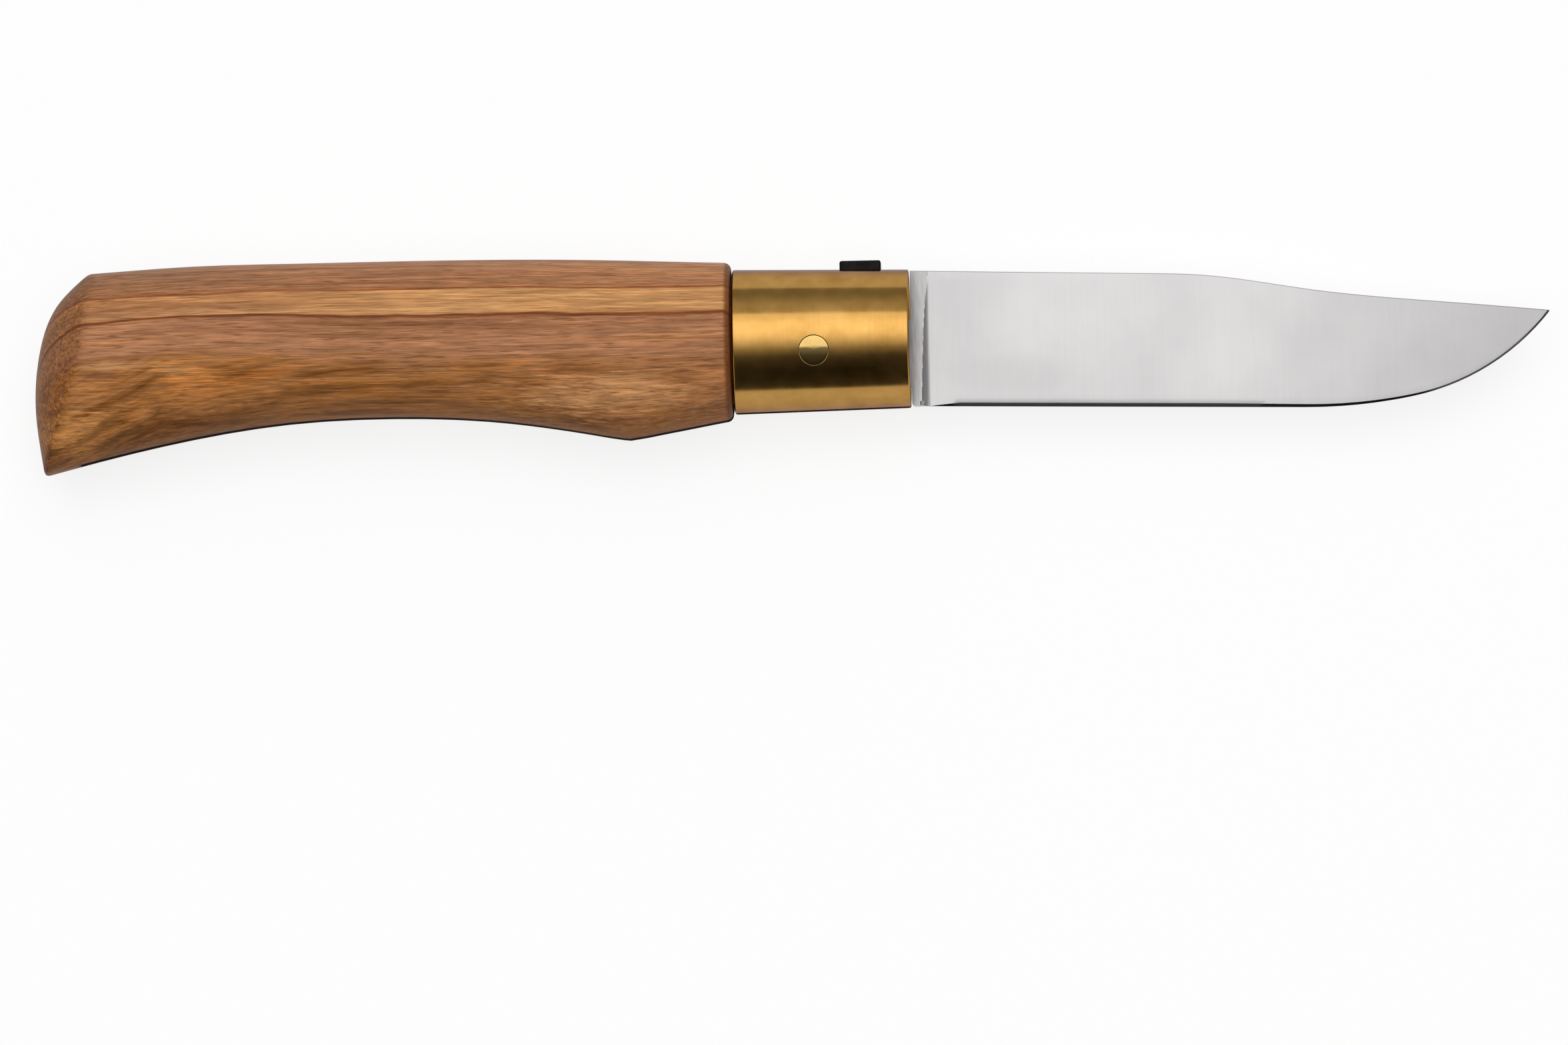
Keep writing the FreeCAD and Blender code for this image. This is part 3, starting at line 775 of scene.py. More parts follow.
def rivet_height(x, y):
    """The rivet's end: a flat filed across its upper part, and a flatter curve below."""
    round_here = COLLAR_REAR_RADIUS + taper * (x - COLLAR_LOW.x)
    filed_y = RIVET.y + FILED_FROM
    height = math.sqrt(round_here**2 - (filed_y - AXIS_Y) ** 2) + RIVET_PROUD
    below = filed_y - y
    if below < 0:
        return height + FILED_LEAN * below
    return height - below * (LOWER_LEAN + LOWER_BEND * below)


def rivet_ring(radius, end):
    ring = []
    past_rim = max(0.0, radius - (RIVET_RADIUS - RIVET_RIM)) / RIVET_RIM
    fall = RIVET_RIM * (1 - math.sqrt(max(0.0, 1 - past_rim**2)))
    for k in range(RIVET_STEPS):
        turn = 2 * math.pi * k / RIVET_STEPS
        x = RIVET.x + radius * math.cos(turn)
        y = RIVET.y + radius * math.sin(turn)
        ring.append((x, y, AXIS_Z + end * (rivet_height(x, y) - fall)))
    return ring


rim_radii = RIVET_RADIUS - RIVET_RIM + RIVET_RIM * np.sin(np.radians((0, 20, 40, 60, 75, 90)))
rivet_radii = [0.05, 0.3, 0.6, 0.9, 1.2, 1.45] + list(rim_radii)
near_end = [rivet_ring(radius, 1) for radius in rivet_radii]
far_end = [rivet_ring(radius, -1) for radius in rivet_radii[::-1]]
pin = bmesh.new()
pin_loops = join_rings(pin, near_end + far_end)
for loop in (pin_loops[0], pin_loops[-1]):
    pin.faces.new(loop)
finished_piece("brass_rivet", pin, "handle_body", "pivot_rivet", "rivet_brass", 60)

# %% [markdown]
# The lock ring is only seen through the window, the slit and the collar's mouth. It comes from the
# same tree as the collar, with a straight side and a smaller round on its edges.

# %% Lock ring
RING_EDGE = 0.12
RING = SOLIDS["lock_ring"]
RING_LOW, RING_HIGH = box_mm("lock_ring")
ring_middle_x = (RING_LOW.x + RING_HIGH.x) / 2
RING_OUTER = outer_radius(RING, ring_middle_x)
RING_INNER = inner_half(RING, ring_middle_x, AXIS_Y)
RING_SLIT_HALF = inner_half(RING, ring_middle_x, AXIS_Y - (RING_OUTER + RING_INNER) / 2)
split_ring = turned_ring({
    "Rear Place": RING_LOW.x, "Length": RING_HIGH.x - RING_LOW.x, "Rear Radius": RING_OUTER,
    "Front Radius": RING_OUTER, "Bore Radius": RING_INNER, "Edge Round": RING_EDGE,
}, FINISHES["ring_steel"])
split_ring = cut_away(split_ring, slit_block(RING_LOW.x, RING_HIGH.x, RING_SLIT_HALF))
finished_piece("steel_lock_ring", split_ring, "lock_body", "lock_ring", "ring_steel", 30)

# %% [markdown]
# The tab that the thumb turns the ring with is a small block, sheared and blackened, with its top
# corners broken. A bevel on a block gives that.

# %% Lock tab
TAB_CORNER = 0.3
TAB_SUNK = 0.3
tab_foot = AXIS_Y + RING_OUTER - TAB_SUNK
tab_corners = block((TAB_LOW.x, tab_foot, TAB_LOW.z), (TAB_HIGH.x, TAB_HIGH.y, AXIS_Z + TAB_NEAR))
tab_block = bmesh.new()
bmesh.ops.convex_hull(tab_block, input=[tab_block.verts.new(point) for point in tab_corners])
bmesh.ops.dissolve_limit(tab_block, angle_limit=0.01, verts=tab_block.verts, edges=tab_block.edges)
upper = [e for e in tab_block.edges if max(v.co.y for v in e.verts) > TAB_HIGH.y - 0.01]
bmesh.ops.bevel(tab_block, geom=upper, offset=TAB_CORNER, segments=5, profile=0.5, affect="EDGES")
finished_piece("black_lock_tab", tab_block, "lock_body", "lock_tab", "tab_black", 40)

# %% [markdown]
# The blade is ground flat on both sides, from just under the spine to the edge, with a small
# radius where the grind ends in front of the collar and a narrow bevel along the edge. Its outline
# is felt out on the solid. Its thickness at a point follows from the distance to the edge, as it
# does on the grinder, so a grid of points with that rule has all these lines in the right place.

# %% Blade outline
PLUNGE_BACK = 1.0
PLUNGE_RADIUS = 1.5
BEVEL_RUN_IN = 4.0
TIP_SHORT = 0.15
OFF_MIDDLE = AXIS_Z + 0.003
BLADE = SOLIDS["blade"]
BLADE_LOW, BLADE_HIGH = box_mm("blade")
BLADE_HALF = (BLADE_HIGH.z - BLADE_LOW.z) / 2
SHOULDER_X = touch(BLADE, (-FAR, BLADE_HIGH.y - 1, AXIS_Z), FORWARD).x
HEEL_X = SHOULDER_X + PLUNGE_BACK
GROUND_X = HEEL_X + PLUNGE_RADIUS
blade_columns = np.unique(np.concatenate([
    np.linspace(SHOULDER_X + 0.001, HEEL_X, 8),
    np.linspace(HEEL_X, GROUND_X, 20),
    np.linspace(GROUND_X, GROUND_X + BEVEL_RUN_IN, 9),
    np.linspace(GROUND_X + BEVEL_RUN_IN, BLADE_HIGH.x - 12, 66),
    np.linspace(BLADE_HIGH.x - 12, BLADE_HIGH.x - 2, 30),
    np.linspace(BLADE_HIGH.x - 2, BLADE_HIGH.x - TIP_SHORT, 12),
]))
spine_line = np.array([touch(BLADE, (x, FAR, OFF_MIDDLE), DOWN).y for x in blade_columns])
edge_line = np.array([touch(BLADE, (x, -FAR, OFF_MIDDLE), UP).y for x in blade_columns])
print("blade shoulder at", round(SHOULDER_X, 3), "thickness", round(2 * BLADE_HALF, 3))

# %% [markdown]
# The grind takes the flank down in a straight line to a thin edge, and the bevel takes the last bit
# at a steeper angle. The bevel runs in behind the plunge and thins towards the point.

# %% Blade grind
BEHIND_EDGE_HALF = 0.15
EDGE_HALF = 0.02
BEVEL_SLOPE = math.tan(math.radians(15.5))
BEVEL_WIDTH = (BEHIND_EDGE_HALF - EDGE_HALF) / BEVEL_SLOPE
BEVEL_START = 1.0
BEVEL_THINS = (BLADE_HIGH.x - 42, BLADE_HIGH.x - 14)
POINT_BEVEL = 0.5
GRIND_MARGIN = 0.4
GRIND_SLOPE = (BLADE_HALF - BEHIND_EDGE_HALF) / (spine_line[8] - edge_line[8] - GRIND_MARGIN)
fine_x = np.linspace(blade_columns[0], blade_columns[-1], 1200)
edge_points = np.column_stack([fine_x, np.interp(fine_x, blade_columns, edge_line)])


def from_edge(point):
    return np.sqrt(((edge_points - point) ** 2).sum(1)).min()


def bevel_share(x):
    """How much of the edge bevel's full width there is."""
    run_in = np.clip((x - HEEL_X - BEVEL_START) / BEVEL_RUN_IN, 0.02, 1)
    return run_in * np.interp(x, BEVEL_THINS, (1, POINT_BEVEL))


def half_thickness(x, y):
    """Half the blade's thickness at a point, from its distance to the edge."""
    distance = from_edge((x, y))
    flank = BEHIND_EDGE_HALF + GRIND_SLOPE * distance
    past = x - HEEL_X
    if past <= 0:
        return BLADE_HALF
    if past < PLUNGE_RADIUS:
        flank += PLUNGE_RADIUS - math.sqrt(PLUNGE_RADIUS**2 - (PLUNGE_RADIUS - past) ** 2)
    return min(BLADE_HALF, flank, EDGE_HALF + BEVEL_SLOPE / float(bevel_share(x)) * distance)


print("grind, degrees:", round(math.degrees(math.atan(GRIND_SLOPE)), 2))
print("bevel width:", round(BEVEL_WIDTH, 2))

# %% [markdown]
# The grid has one column for each place along the blade, with a row on the edge, one where the bevel
# ends, and one just under the spine, whose corner is broken. Both sides get the same rows, and
# strips close the edge, the spine and the two ends.

# %% Blade grid
BLADE_ROWS = 30
SPINE_EASE = 0.1
edge_lean = np.hypot(1, np.gradient(edge_line, blade_columns))
steel = bmesh.new()
sides = {1: [], -1: []}
for x, low, high, lean in zip(blade_columns, edge_line, spine_line, edge_lean):
    bevel = min(BEVEL_WIDTH * lean * float(bevel_share(x)), 0.3 * (high - low))
    ease = min(SPINE_EASE, 0.1 * (high - low))
    heights = [low] + list(np.linspace(low + bevel, high - ease, BLADE_ROWS)) + [high]
    halves = [half_thickness(x, y) for y in heights]
    halves[-1] = max(halves[-1] - ease, 0.5 * halves[-1])
    for side, columns in sides.items():
        column = [(x, y, AXIS_Z + side * half) for y, half in zip(heights, halves)]
        columns.append([steel.verts.new(point) for point in column])
for columns in sides.values():
    for first, second in zip(columns, columns[1:]):
        for row in range(len(first) - 1):
            steel.faces.new((first[row], second[row], second[row + 1], first[row + 1]))
near, far = sides[1], sides[-1]
for end in (0, -1):
    steel.faces.new(near[end] + far[end][::-1])
for row in (0, -1):
    for k in range(len(blade_columns) - 1):
        steel.faces.new((near[k][row], near[k + 1][row], far[k + 1][row], far[k][row]))
print("blade grid, faces:", len(steel.faces))

# %% [markdown]
# Behind the shoulder the blade narrows to the tang, a rounded tongue with the rivet's hole. It is
# joined to the grid and drilled by Booleans. The bevel and the strip that the grind leaves are then
# marked on the faces, for the finish.

# %% Blade tang
TANG_HALF = RIVET.x - BLADE_LOW.x
TANG_LAP = 0.4
HOLE_PLAY = 0.05
tang_outline = [(RIVET.x + TANG_HALF * math.cos(t), RIVET.y + TANG_HALF * math.sin(t))
                for t in np.radians(np.linspace(90, 270, 48))]
tang_outline += [(SHOULDER_X + TANG_LAP, RIVET.y + side * TANG_HALF) for side in (-1, 1)]
tang = bmesh.new()
bmesh.ops.convex_hull(tang, input=[
    tang.verts.new((x, y, AXIS_Z + end * BLADE_HALF)) for x, y in tang_outline for end in (-1, 1)])
steel = combine(steel, tang, "UNION")
steel = cut_away(steel, rod_points(RIVET_RADIUS + HOLE_PLAY, 5))
blade = finished_piece("steel_blade", steel, "blade_body", "blade", "blade_steel", 12)

centres = np.array([polygon.center for polygon in blade.data.polygons]) / MM
to_edge = np.array([from_edge(centre[:2]) for centre in centres])
honed = (to_edge < BEVEL_WIDTH * bevel_share(centres[:, 0])) & (centres[:, 0] > HEEL_X + BEVEL_START)
unground = (np.abs(centres[:, 2] - AXIS_Z) > BLADE_HALF - 0.002) & (centres[:, 0] < GROUND_X)
mark(blade, "honed", honed, "FACE")
mark(blade, "unground", unground, "FACE")

# %% [markdown]
# Colours are written as they are read on a screen, and turned into the linear numbers that a shader
# takes. Patterns are laid out in the piece's own coordinates, in millimetres, so they stay with the
# piece when it moves.

# %% Colour and place helpers
def seen_as(red, green, blue):
    """A colour as it is read from a screen, as the linear colour that a shader takes."""
    shares = [value / 255 for value in (red, green, blue)]
    return tuple(v / 12.92 if v < 0.0404 else ((v + 0.055) / 1.055) ** 2.4 for v in shares)


def screen_tones(stops):
    return [(stop, seen_as(*tone)) for stop, tone in stops]


def grey(level):
    return (level, level, level)


def millimetres(nodes):
    """The piece's own coordinates in millimetres."""
    return nodes.scaled(nodes.add("ShaderNodeTexCoord").outputs["Object"], 1 / MM, 1 / MM, 1 / MM)


def shader_of(slot):
    return FINISHES[slot].node_tree.nodes["Principled BSDF"]


print("a screen's middle grey in a shader:", round(seen_as(128, 128, 128)[0], 3))

# %% [markdown]
# Olive wood has growth layers that cross the handle as leaning, wavy sheets. On the side they show
# as lines along the handle, under the curve of the belly as wide flames, and on the domed butt as
# slanting bands. A picture wrapped round the handle would stretch at the butt. So the figure is one
# number in space, how far a point lies across the layers, and everything else reads from it: a pale
# band with a dark line on each side, warm and brown layers, fine fibres and pores along the length.

# %% Wood layers
LAYER_LEAN = 0.8
SWELL_X = -73.0
SWELL_REACH = 12.0
SWELL_RISE = 1.3
SWELL_BASE = 2.718
WANDER = 1.3
RIPPLE = 0.28
grain = Nodes(FINISHES["handle_wood"].node_tree)
place = millimetres(grain)
x, y, z = grain.split(place)
depth = grain.minus(z, AXIS_Z)
layer = grain.minus(y, grain.times(depth, LAYER_LEAN))
swell_x = grain.over(grain.minus(x, SWELL_X), SWELL_REACH)
swell = grain.math("POWER", SWELL_BASE, grain.times(grain.times(swell_x, swell_x), -1.0))
near_low = grain.span(layer, -4.5, 2.0, 1.0, 0.0, smooth=True)
layer = grain.minus(layer, grain.times(grain.times(swell, near_low), SWELL_RISE))
wander = grain.noise(grain.scaled(place, 0.045, 0.10, 0.10), detail=1.0)
ripple = grain.noise(grain.scaled(place, 0.16, 0.30, 0.30), detail=2.0)
restless = grain.span(layer, -8.5, -4.0, 1.0, 0.3, smooth=True)
layer = grain.plus(layer, grain.times(restless, grain.span(wander, 0.0, 1.0, -WANDER, WANDER)))
layer = grain.plus(layer, grain.span(ripple, 0.0, 1.0, -RIPPLE, RIPPLE))
print("nodes for the layers:", len(grain.tree.nodes))

# %% [markdown]
# Two ramps colour the layers: a brown one for the side, and a more golden one for the flames at the
# belly, where the cut runs along the layers. The flames slant at the butt and rise in two steps
# towards the collar.

# %% Wood tones
FIGURE_TONES = (
    (0.30, (132, 84, 52)), (0.42, (159, 108, 74)), (0.52, (172, 120, 85)), (0.62, (180, 121, 76)),
    (0.74, (148, 96, 60)),
)
FLAME_TONES = (
    (0.32, (112, 67, 29)), (0.41, (142, 90, 45)), (0.5, (164, 111, 66)), (0.58, (178, 116, 61)),
    (0.68, (140, 88, 43)),
)
figure_place = grain.vector(grain.times(x, 0.012), grain.times(layer, 0.55), 0.0)
figure = grain.noise(figure_place, detail=4.0, roughness=0.62)
colour = grain.ramp(figure, screen_tones(FIGURE_TONES))
rise = grain.span(x, -74.0, -54.0, 0.0, 2.4, smooth=True)
rise = grain.plus(rise, grain.span(x, -22.0, -8.0, 0.0, 1.8, smooth=True))
rise = grain.plus(rise, grain.span(x, -95.0, -79.0, -8.0, 0.0))
risen = grain.vector(x, grain.minus(y, rise), z)
flame = grain.noise(grain.scaled(risen, 0.045, 0.52, 0.30), detail=4.0, roughness=0.62)
flame_tone = grain.ramp(flame, screen_tones(FLAME_TONES))
flame_share = grain.span(layer, -7.4, -8.8, smooth=True)
flame_share = grain.times(flame_share, grain.span(x, -44.0, -16.0, 1.0, 0.5))
colour = grain.mix(flame_share, colour, flame_tone)
print("tones in the ramps:", len(FIGURE_TONES), "and", len(FLAME_TONES))

# %% [markdown]
# One pale layer runs the whole length, with a dark line on each side where it meets the next. It is
# browner towards the butt. Above it the wood is greyer at the butt and lighter in front. Each of
# these is a mask on the layer number, and a mask mixes in one tone.

# %% Pale band and dark lines
PALE_LOW = -2.6
PALE_HIGH = 2.1
PALE_TONES = ((0.35, (182, 128, 80)), (0.5, (200, 148, 96)), (0.65, (190, 136, 84)))
DARK_LINES = (
    (PALE_LOW - 0.12, 0.38, 0.9, (116, 58, 24)), (PALE_HIGH + 0.1, 0.30, 0.85, (150, 82, 38)),
    (5.1, 0.3, 0.5, (146, 88, 54)), (3.6, 0.18, 0.45, (136, 82, 50)),
)
pale_mask = grain.span(layer, PALE_LOW, PALE_LOW + 0.25)
pale_mask = grain.times(pale_mask, grain.span(layer, PALE_HIGH, PALE_HIGH - 0.2))
pale_mask = grain.times(pale_mask, grain.span(x, -86.0, -46.0, 0.28, 1.0))
colour = grain.mix(pale_mask, colour, grain.ramp(figure, screen_tones(PALE_TONES)))


def layer_line(at, width):
    """1 on the line between two layers, fading to 0 at its width."""
    off = grain.math("ABSOLUTE", grain.minus(layer, at))
    return grain.span(off, width, width * 0.25)


def tinted(mask, strength, tone, blend="MIX"):
    """The wood's colour so far, tinted where the mask is."""
    return grain.mix(grain.times(mask, strength), colour, seen_as(*tone), blend)


for at, width, strength, tone in DARK_LINES:
    colour = tinted(layer_line(at, width), strength, tone)
above_pale = grain.span(layer, 2.4, 4.0)
brown_middle = grain.times(layer_line(-0.3, 1.4), grain.span(x, -78.0, -40.0, 0.65, 0.15))
colour = grain.mix(brown_middle, colour, seen_as(152, 102, 66))
grey_back = grain.times(above_pale, grain.span(x, -56.0, -78.0, 0.0, 0.4))
colour = grain.mix(grey_back, colour, seen_as(132, 96, 68))
light_front = grain.times(above_pale, grain.span(x, -50.0, -18.0, 0.0, 0.35))
colour = grain.mix(light_front, colour, seen_as(190, 134, 88))
print("lines between layers:", len(DARK_LINES))

# %% [markdown]
# Where the belly's curve runs along a layer, single layers come out as patches with a colour of
# their own. They are soft ovals with ragged edges, laid on the side that faces up. Each has its
# centre, its reach, its turn in degrees, its strength and its tone.

# %% Wood patches
RAGGED = 1.4
TORN = 3.0
PATCHES = (
    ((-84.4, -0.3), (6.5, 0.6), 0, 0.65, (198, 148, 100)),
    ((-84.0, -1.4), (6.8, 0.45), 0, 0.75, (128, 80, 50)),
    ((-77.0, -0.7), (3.6, 0.9), -8, 0.6, (194, 140, 84)),
    ((-74.4, -2.45), (5.8, 1.8), 8, 0.85, (202, 130, 68)),
    ((-67.0, -2.0), (6.0, 0.9), 12, 0.6, (178, 110, 54)),
    ((-60.5, -3.7), (8.0, 1.0), 8, 0.65, (116, 74, 36)),
    ((-46.5, -2.1), (8.0, 0.5), 1, 0.6, (190, 132, 78)),
    ((-44.5, -3.1), (9.5, 0.42), 1, 0.75, (128, 78, 34)),
    ((-13.5, -3.3), (5.5, 0.9), 16, 0.45, (136, 88, 50)),
    ((-89.9, -8.2), (5.0, 4.4), 20, 0.7, (204, 142, 82)),
    ((-86.4, -7.9), (6.5, 0.7), 29, 0.6, (96, 62, 30)),
    ((-83.6, -8.6), (7.0, 0.6), 26, 0.6, (100, 65, 32)),
    ((-22.0, -5.0), (12.0, 2.8), 3, 0.95, (198, 143, 94)),
)
near_side = grain.span(depth, 0.0, 4.0)
torn = grain.noise(grain.scaled(place, 0.2, 1.9, 1.9), detail=3.0, roughness=0.6)
edge_wave = grain.span(ripple, 0.0, 1.0, -RAGGED / 2, RAGGED / 2)
edge_wave = grain.plus(edge_wave, grain.span(torn, 0.0, 1.0, -TORN / 2, TORN / 2))


def wood_patch(centre, reach, turn):
    """1 in the middle of an oval patch on the near side, 0 beyond its reach."""
    along = grain.minus(x, centre[0])
    across = grain.minus(y, centre[1])
    cosine, sine = math.cos(math.radians(turn)), math.sin(math.radians(turn))
    length = grain.plus(grain.times(along, cosine), grain.times(across, sine))
    width = grain.minus(grain.times(across, cosine), grain.times(along, sine))
    length = grain.over(length, reach[0])
    width = grain.over(width, reach[1])
    off = grain.math("SQRT", grain.plus(grain.times(length, length), grain.times(width, width)))
    off = grain.plus(off, edge_wave)
    return grain.times(near_side, grain.span(off, 1.0, 0.3, smooth=True))


for centre, reach, turn, strength, tone in PATCHES:
    colour = tinted(wood_patch(centre, reach, turn), strength, tone)
print("patches:", len(PATCHES))

# %% [markdown]
# Under the oil the wood is full of fine fibres and short dark pores along its length. Noise that is
# drawn out along the handle gives all of them, from wide to fine.

# %% Wood fibres
fibres = grain.noise(grain.scaled(place, 0.08, 2.5, 2.5), detail=4.0, roughness=0.62)
hairs = grain.noise(grain.scaled(place, 0.28, 6.0, 6.0), detail=3.0)
shade = grain.times(grain.span(fibres, 0.3, 0.7, 0.64, 1.29), grain.span(hairs, 0.3, 0.7, 0.70, 1.29))
colour = grain.mix(1.0, colour, shade, "MULTIPLY")
pores = grain.noise(grain.scaled(place, 0.34, 4.6, 4.6), detail=2.0)
pore_share = grain.span(pores, 0.57, 0.70, 0.0, 0.65)
pore_share = grain.times(pore_share, grain.span(pale_mask, 0.0, 1.0, 1.0, 0.35))
colour = grain.mix(pore_share, colour, seen_as(106, 62, 34))
print("nodes for the figure and the fibres:", len(grain.tree.nodes))

# %% [markdown]
# Wood that is cut across the grain drinks more oil: the domed butt is a little darker and speckled,
# and the rim at the collar is a red brown, which also stands in as painted shade where the rounding
# runs into the joint. The lower part of the handle is darkened as painted shade, and the saw slot is
# painted dark inside as painted shade. The masks were marked on the mesh, so they follow its shape.

# %% Wood ends and slot
end_grain = grain.attribute("end_grain")
painted_slot_shade = grain.attribute("painted_slot_shade")
underside = grain.attribute("underside")
# Painted shade: the wood is darkened towards its lower edge.
colour = tinted(underside, 0.85, (220, 211, 172), "MULTIPLY")
speckle = grain.noise(place, scale=2.2, detail=3.0)
end_tone = grain.mix(0.6, colour, seen_as(210, 194, 166), "MULTIPLY")
end_tone = grain.mix(grain.span(speckle, 0.42, 0.68, 0.0, 0.6), end_tone, seen_as(78, 54, 36))
colour = grain.mix(end_grain, colour, end_tone)
# A red brown on the rounding at the collar: partly the oiled end grain, partly painted shade at the joint.
rim = grain.span(x, FRONT_X - 0.08, FRONT_X + 0.5, smooth=True)
colour = tinted(rim, 0.78, (98, 50, 14))
# Painted shade: the inside of the saw slot is painted nearly black.
colour = tinted(painted_slot_shade, 0.9, (40, 25, 15))
print("wood nodes with the ends and the slot:", len(grain.tree.nodes))

# %% [markdown]
# The oil leaves a satin surface with little shine. The fibres change its gloss and stand up as a very
# low relief. That is far too fine for a mesh, so a Bump node gives it.

# %% Oiled surface
WOOD_RELIEF = 0.00004
WOOD_SHINE = 0.06
wood_shader = shader_of("handle_wood")
grain.link(colour, wood_shader.inputs["Base Color"])
grain.link(grain.span(fibres, 0.3, 0.7, 0.40, 0.52), wood_shader.inputs["Roughness"])
felt = grain.add("ShaderNodeBump", Height=grain.plus(fibres, pores), Strength=0.25, Distance=WOOD_RELIEF)
grain.link(felt.outputs["Normal"], wood_shader.inputs["Normal"])
wood_shader.inputs["Specular IOR Level"].default_value = WOOD_SHINE
print("handle_wood nodes:", len(grain.tree.nodes))

# %% [markdown]
# Satin metal is covered in fine parallel scratches, round the collar as it turned on the lathe and
# across the blade as the belt ran. One node group gives them: noise stretched far along one
# direction, put out as a tone and as a height, with a slow cloud for handling marks.

# %% Brushed metal group
def brushed_group():
    tree = bpy.data.node_groups.new("brushed_metal", "ShaderNodeTree")
    for name in ("Place", "Across"):
        tree.interface.new_socket(name, in_out="INPUT", socket_type="NodeSocketVector")
    tree.interface.new_socket("Cloud Scale", in_out="INPUT", socket_type="NodeSocketFloat")
    for name in ("Lines", "Cloud"):
        tree.interface.new_socket(name, in_out="OUTPUT", socket_type="NodeSocketFloat")
    inside = Nodes(tree)
    given = inside.add("NodeGroupInput").outputs
    stretched = inside.add("ShaderNodeVectorMath", {"operation": "MULTIPLY"})
    inside.link(given["Place"], stretched.inputs[0])
    inside.link(given["Across"], stretched.inputs[1])
    out = inside.add("NodeGroupOutput")
    inside.link(inside.noise(stretched.outputs[0], detail=4.0, roughness=0.65), out.inputs["Lines"])
    inside.link(inside.noise(given["Place"], scale=given["Cloud Scale"], detail=3.0), out.inputs["Cloud"])
    return tree


BRUSHED = brushed_group()
print("brushed metal group, nodes:", len(BRUSHED.nodes))

# %% [markdown]
# A satin metal takes its tone from the scratches and the cloud, its gloss from the cloud alone, and
# a very low relief from the scratches. The Principled shader stays in the material, because only
# masks and values may come out of a group.

# %% Satin metal
SCRATCH_RELIEF = 0.00001


def brushed(nodes, across, cloud_scale):
    group = nodes.add("ShaderNodeGroup", {"node_tree": BRUSHED}, Place=millimetres(nodes), Across=across,
                      Cloud_Scale=cloud_scale)
    return group.outputs["Lines"], group.outputs["Cloud"]


def satin_metal(slot, tones, across, cloud_scale, roughness, bump, line_share=0.5):
    """A satin metal: tones from dark to light, scratches and a slow change of gloss."""
    nodes = Nodes(FINISHES[slot].node_tree)
    shader = shader_of(slot)
    lines, cloud = brushed(nodes, across, cloud_scale)
    tone = nodes.plus(nodes.times(lines, line_share), nodes.times(cloud, 1 - line_share))
    colour = nodes.ramp(tone, [(0.3, tones[0]), (0.7, tones[1])])
    gloss = nodes.span(cloud, 0.3, 0.7, *roughness)
    nodes.link(colour, shader.inputs["Base Color"])
    nodes.link(gloss, shader.inputs["Roughness"])
    relief = nodes.add("ShaderNodeBump", Height=lines, Strength=bump, Distance=SCRATCH_RELIEF)
    nodes.link(relief.outputs["Normal"], shader.inputs["Normal"])
    shader.inputs["Metallic"].default_value = 1.0
    print(slot, "nodes:", len(nodes.tree.nodes))
    return nodes, shader, colour, gloss


print("deepest scratch, mm:", SCRATCH_RELIEF / MM)

# %% [markdown]
# The collar is brass, brushed as it turned, and the faces of its sawn ends are painted dark as
# painted shade. The rivet is a paler brass, filed smooth in no one direction. The ring is plain turned
# steel. Seen at a slant, brass loses light and yellow, which the specular tint gives.

# %% Brass and ring finishes
BRASS_EDGE_TINT = (0.46, 0.46, 0.57, 1)
END_SHADE_BRASS = (0.05, 0.032, 0.012)
nodes, shader, colour, _ = satin_metal(
    "collar_brass", ((0.37, 0.2, 0.049), (0.50, 0.282, 0.08)), across=(5.0, 0.2, 0.2), cloud_scale=0.35,
    roughness=(0.12, 0.18), bump=0.08, line_share=0.15,
)
# Painted shade: the collar's end faces are painted nearly black.
end_shade_share = nodes.times(nodes.attribute("painted_end_shade"), 0.75)
nodes.link(nodes.mix(end_shade_share, colour, END_SHADE_BRASS), shader.inputs["Base Color"])
satin_metal(
    "rivet_brass", ((0.38, 0.255, 0.085), (0.45, 0.31, 0.11)), across=(3.0, 3.0, 3.0), cloud_scale=0.8,
    roughness=(0.07, 0.10), bump=0.05,
)
for slot in ("collar_brass", "rivet_brass"):
    shader_of(slot).inputs["Specular Tint"].default_value = BRASS_EDGE_TINT
satin_metal(
    "ring_steel", ((0.30, 0.30, 0.31), (0.40, 0.40, 0.41)), across=(7.0, 0.2, 0.2), cloud_scale=0.35,
    roughness=(0.28, 0.36), bump=0.2,
)

# %% [markdown]
# The blade's flanks are belt ground. The narrow bevel is honed smooth and mirrors the dark room, and
# its colour is painted nearly black as a painted dark reflection, so that it reads as a black line.
# The strip in front of the collar is left as it was rolled, greyer than the ground steel, and is
# painted darker towards the collar as painted shade. Masks on the faces tell these apart. The colour
# is also a little darker in a faint patch and towards the point.

# %% Blade finish
HONED_ROUGHNESS = 0.12
BEVEL_PAINTED_DARK = (0.04, 0.04, 0.042)
ROLLED_AND_SHADE_TONE = (0.05, 0.045, 0.04)
TIP_AND_PATCH_TONE = grey(0.05)
DARK_PATCH_PLACE = (28.0, -2.8)
DARK_PATCH_REACH = (9.0, 3.4)
nodes, shader, colour, gloss = satin_metal(
    "blade_steel", ((0.43, 0.42, 0.42), (0.585, 0.57, 0.57)), across=(2.2, 0.1, 0.1), cloud_scale=0.06,
    roughness=(0.34, 0.40), bump=0.04, line_share=0.12,
)
steel_place = millimetres(nodes)
x, y, _ = nodes.split(steel_place)
honed = nodes.attribute("honed")
unground = nodes.attribute("unground")
